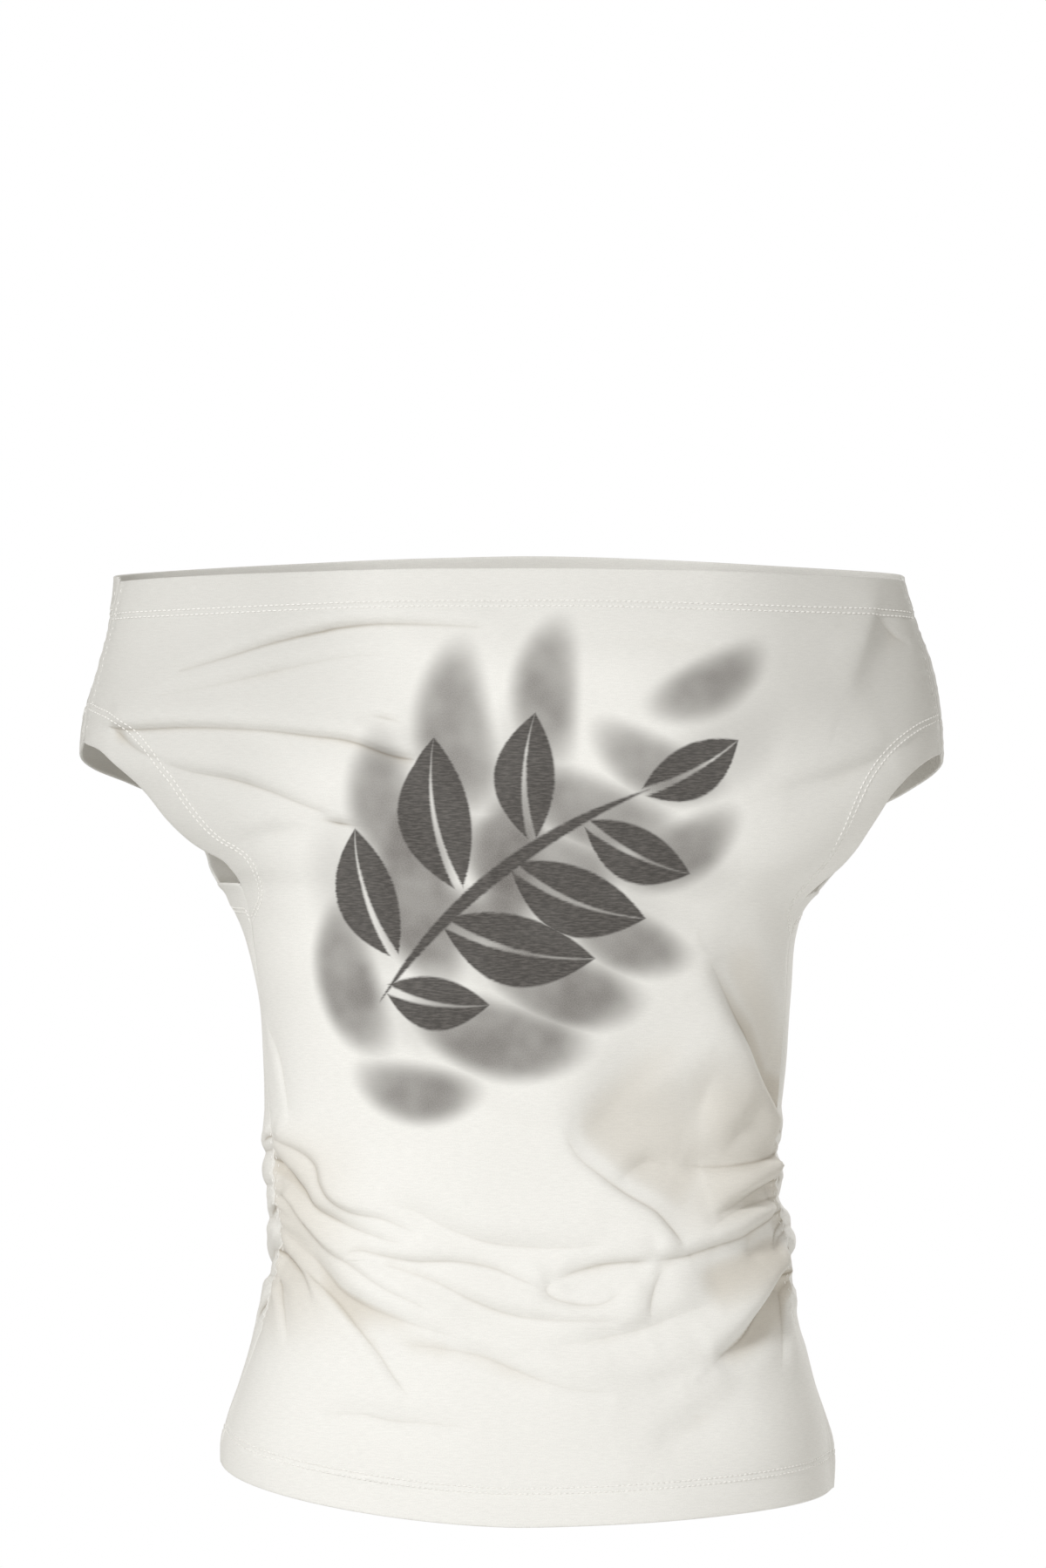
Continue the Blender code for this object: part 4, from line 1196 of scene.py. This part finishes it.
# ---------------------------------------------------------------- stitching
# Twin-needle coverstitch holds the neck, armhole and bottom hems: two rows of short stitches outside and
# looped thread over the raw edge inside. The shoulder seams are topstitched once, the side seams
# gathered with one row, and all seam allowances are overlocked. The thread is ivory polyester.
THREAD = (1.15 * MM, 0.42 * MM, 0.32 * MM)  # half length, width and height of one stitch
STITCH_PITCH = 2.9 * MM
FREE_START, FREE_END = 0.7, 0.5  # of a row, in pitches
SUNK = 0.3  # a stitch's centre stands off the cloth by this share of its height
LOOP = (0.54, 0.2 * MM, 0.17 * MM)  # half length as a share of its run, width and height
INSIDE = 2 * FOLD_RADIUS + JERSEY + 0.1 * MM  # from the outside of the cloth to the thread behind a hem
STITCH_WELD = 0.0005 * MM

# Rows along the seams: distance from the seam, pitch and stitch; the overlock runs between two distances
TOPSTITCH = (3.2 * MM, 3.4 * MM, (1.2 * MM, 0.3 * MM, 0.24 * MM))
GATHERING = (1.4 * MM, 4.2 * MM, (1.0 * MM, 0.3 * MM, 0.26 * MM))
OVERLOCK, OVERLOCK_PITCH = (3.4 * MM, 7.1 * MM), 2.6 * MM
SHOULDER_STEPS, FLANK_STEPS, GATHERED_STEPS = 40, 160, 90


def sew(mesh, centres, ahead, out, sizes):
    """Stitches as plump spindles of thread, cut from one long grid that is wrapped round them in turn."""
    across = np.cross(out, ahead)
    length, width, height = (np.broadcast_to(size, len(centres))[:, None, None, None] for size in sizes)
    tip = np.radians(np.arange(0, 181, 45))[None, :, None, None]
    turn = np.radians(np.arange(0, 361, 60))[None, None, :, None]
    centres, ahead, across, out = (values[:, None, None, :] for values in (centres, ahead, across, out))
    around = width * np.cos(turn) * across + height * np.sin(turn) * out
    points = centres - length * np.cos(tip) * ahead + np.sin(tip) * around
    rings = points.reshape(-1, points.shape[2], 3)
    columns, rows = rings.shape[1] - 1, len(rings) - 1
    made = bmesh.ops.create_grid(mesh, x_segments=columns, y_segments=rows, size=1)["verts"]
    stitch = {}
    for number, (vertex, place) in enumerate(zip(made, rings.reshape(-1, 3))):
        vertex.co = place
        stitch[vertex] = number // (points.shape[1] * points.shape[2])
    faces = {face for vertex in made for face in vertex.link_faces}
    between = [face for face in faces if len({stitch[vertex] for vertex in face.verts}) > 1]
    bmesh.ops.delete(mesh, geom=between, context="FACES")


def along_line(points, normals, places):
    """Points, headings and normals at distances along a line on the cloth."""
    length = length_along(points)
    at = lambda values: beside(*(np.interp(places, length, value) for value in values.T))
    ahead = unit(at(np.gradient(points, length, axis=0)))
    return at(points), ahead, square_to(at(normals), ahead)


def stitch_places(points, pitch, step):
    """Distances along a line, a step apart, that leave its two ends free."""
    return np.arange(FREE_START * pitch, length_along(points)[-1] - FREE_END * pitch, step)


def sew_row(mesh, points, normals, pitch=STITCH_PITCH, size=THREAD):
    """A row of separate stitches along the outside of the cloth."""
    centres, ahead, out = along_line(points, normals, stitch_places(points, pitch, pitch))
    sew(mesh, centres + SUNK * size[2] * out, ahead, out, size)


def sew_loops(mesh, first, second, pitch=STITCH_PITCH):
    """Looped thread to and fro between two lines inside the cloth; each line is its points and normals."""
    places = stitch_places(first[0], pitch, pitch / 2)
    start, _, inward = along_line(first[0], -first[1], places)
    longer = length_along(second[0])[-1] / length_along(first[0])[-1]
    end = along_line(second[0], -second[1], places * longer)[0]
    turns = np.where((np.arange(len(places)) % 2)[:, None] == 0, start, end)
    run = np.diff(turns, axis=0)
    ahead = unit(run)
    inside = square_to(inward[:-1], ahead)
    middle = (turns[:-1] + turns[1:]) / 2 + INSIDE * inside
    sew(mesh, middle, ahead, inside, (LOOP[0] * np.linalg.norm(run, axis=-1), *LOOP[1:]))


def hem_line(grid, depths, depth):
    """Points and normals along a hem at a depth from its edge; the grid's first rows run in from the edge."""
    at = np.interp(depth, depths, np.arange(len(depths)))
    low = min(int(at), len(depths) - 2)
    return [(1 - at + low) * values[low] + (at - low) * values[low + 1] for values in grid[1:3]]


def seam_line(panel, side, seam, heights, distance):
    """Points and normals along a panel's seam edge, at a distance from it into the panel."""
    turn = inward_turn(panel, side, seam_turn(panel, seam, side, heights), heights, distance)
    places = beside(turn, heights)
    return cloth(panel, places)[0], outward(places)


def stitching(name, panel, made, material):
    """All thread of one panel: its hems' rows and loops, then the rows along its seams."""
    mesh = bmesh.new()
    hems = [(values, HEM_ROWS) for values in (made["main"], [rows[::-1] for rows in made["main"]])]
    hems += [([np.swapaxes(rows, 0, 1) for rows in made[side]], STRIP_DEPTHS) for side in SIGN]
    for grid, depths in hems:
        first, second = (hem_line(grid, depths, depth) for depth in HEM_NEEDLES)
        sew_row(mesh, *first)
        sew_row(mesh, *second)
        sew_loops(mesh, first, second)
    for side in SIGN:
        top, foot = made[side][0][0, 0, 1], made[side][0][-1, 0, 1]
        shoulder = np.linspace(NECK[panel][0] - 3 * MM, top + 2 * MM, SHOULDER_STEPS)
        flank = np.linspace(foot - 4 * MM, BOTTOM[panel][0] + 3 * MM, FLANK_STEPS)
        gathers_shade = np.linspace(GATHERS_TOP, GATHERS_FOOT + 20 * MM, GATHERED_STEPS)
        seam_rows = ("shoulder", shoulder, *TOPSTITCH), ("side", gathers_shade, *GATHERING)
        for seam, heights, distance, pitch, size in seam_rows:
            sew_row(mesh, *seam_line(panel, side, seam, heights, distance), pitch, size)
        for seam, heights in (("shoulder", shoulder), ("side", flank)):
            edges = (seam_line(panel, side, seam, heights, distance) for distance in OVERLOCK)
            sew_loops(mesh, *edges, OVERLOCK_PITCH)
    bmesh.ops.remove_doubles(mesh, verts=mesh.verts, dist=STITCH_WELD)
    bmesh.ops.recalc_face_normals(mesh, faces=mesh.faces)
    piece = link(name, mesh, material)
    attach(piece, "root")
    return piece


thread, n, shader = new_material("ivory_thread")
place = n.add("TexCoord")["Object"]
ply = n.noise(place, 3200.0, 1.0)
colour = n.mix(n.noise(place, 240.0), (0.88, 0.87, 0.84), (0.96, 0.955, 0.94))
colour = n.mix(n.step(ply, 0.35, 0.6, 0.35, 0.0), colour, (0.62, 0.59, 0.53))
roughness = n.step(ply, 0.3, 0.7, 0.42, 0.62)
bump = n.bump(ply, 0.4, 0.05 * MM)
n.feed(shader, {"Base Color": colour, "Roughness": roughness, "Normal": bump, "Sheen Weight": 0.1})

front_stitching = stitching("front_stitching", "front", front_made, thread)
back_stitching = stitching("back_stitching", "back", back_made, thread)

# ---------------------------------------------------------------- camera, light and floor
# The photograph's level view from straight ahead, soft light from the viewer's upper left and a pale floor.
VIEW_HEIGHT = 0.8185  # metres from the bottom to the top of the photograph, at the garment
VIEW_CENTRE = 0.001365, -0.1081
DISTANCE = 4.0
SENSOR = 36
camera = bpy.data.objects.new("camera", bpy.data.cameras.new("camera"))
bpy.context.scene.collection.objects.link(camera)
camera.location = (VIEW_CENTRE[0], -DISTANCE, VIEW_CENTRE[1])
camera.rotation_euler = (np.radians(90), 0, 0)
camera.data.sensor_fit = "VERTICAL"
camera.data.sensor_height = SENSOR
camera.data.lens = SENSOR * DISTANCE / VIEW_HEIGHT
bpy.context.scene.camera = camera

# The room's light is dimmer and warmer than the white that the camera sees behind the garment
ROOM_LIGHT, ROOM_COLOUR, WHITE = 0.42, (1.0, 0.955, 0.87), (1.0, 1.0, 1.0)
world = bpy.data.worlds.new("studio")
bpy.context.scene.world = world
world.use_nodes = True
world.node_tree.nodes.clear()
n = Nodes(world.node_tree)
seen = n.add("LightPath")["Is Camera Ray"]
strength = n.line(seen, 1.0 - ROOM_LIGHT, ROOM_LIGHT)
sky = n.add("Background", {"Color": n.mix(seen, ROOM_COLOUR, WHITE), "Strength": strength})[0]
n.add("OutputWorld", {"Surface": sky})

LAMP_COLOUR = (0.97, 0.985, 1.0)


def soft_light(name, place, aim, size, power):
    """A rectangular lamp at a place, turned to what it is aimed at; power in watts."""
    lamp = bpy.data.objects.new(name, bpy.data.lights.new(name, "AREA"))
    bpy.context.scene.collection.objects.link(lamp)
    lamp.data.shape = "RECTANGLE"
    lamp.data.size, lamp.data.size_y = size
    lamp.data.energy = power
    lamp.data.color = LAMP_COLOUR
    lamp.location = place
    x, y, z = np.array(aim) - np.array(place)
    lamp.rotation_euler = (np.arctan2(np.hypot(x, y), -z), 0, np.arctan2(-x, y))


soft_light("key", (-1.6, -2.4, 1.3), (0, 0, -0.2), (0.6, 0.6), 63)
soft_light("fill", (1.7, -3.0, -0.2), (0, 0, -0.25), (1.6, 1.8), 19)
soft_light("back", (1.6, 2.9, 1.4), (0, 0, -0.25), (1.4, 1.4), 70)

FLOOR_HEIGHT, FLOOR_RADIUS = -1.35, 5.4
floor_mesh = bmesh.new()
bmesh.ops.create_circle(floor_mesh, cap_ends=True, segments=96, radius=FLOOR_RADIUS)
bmesh.ops.translate(floor_mesh, verts=floor_mesh.verts, vec=(0, 0, FLOOR_HEIGHT))
pale_floor, n, shader = new_material("pale_floor")
mottle = n.noise(n.add("TexCoord")["Object"], 3.0)
n.feed(shader, {"Base Color": n.mix(mottle, (0.84, 0.84, 0.83), (0.88, 0.88, 0.87)), "Roughness": 0.7})
floor = link("floor", floor_mesh, pale_floor)

bpy.context.scene.view_settings.view_transform = "Standard"
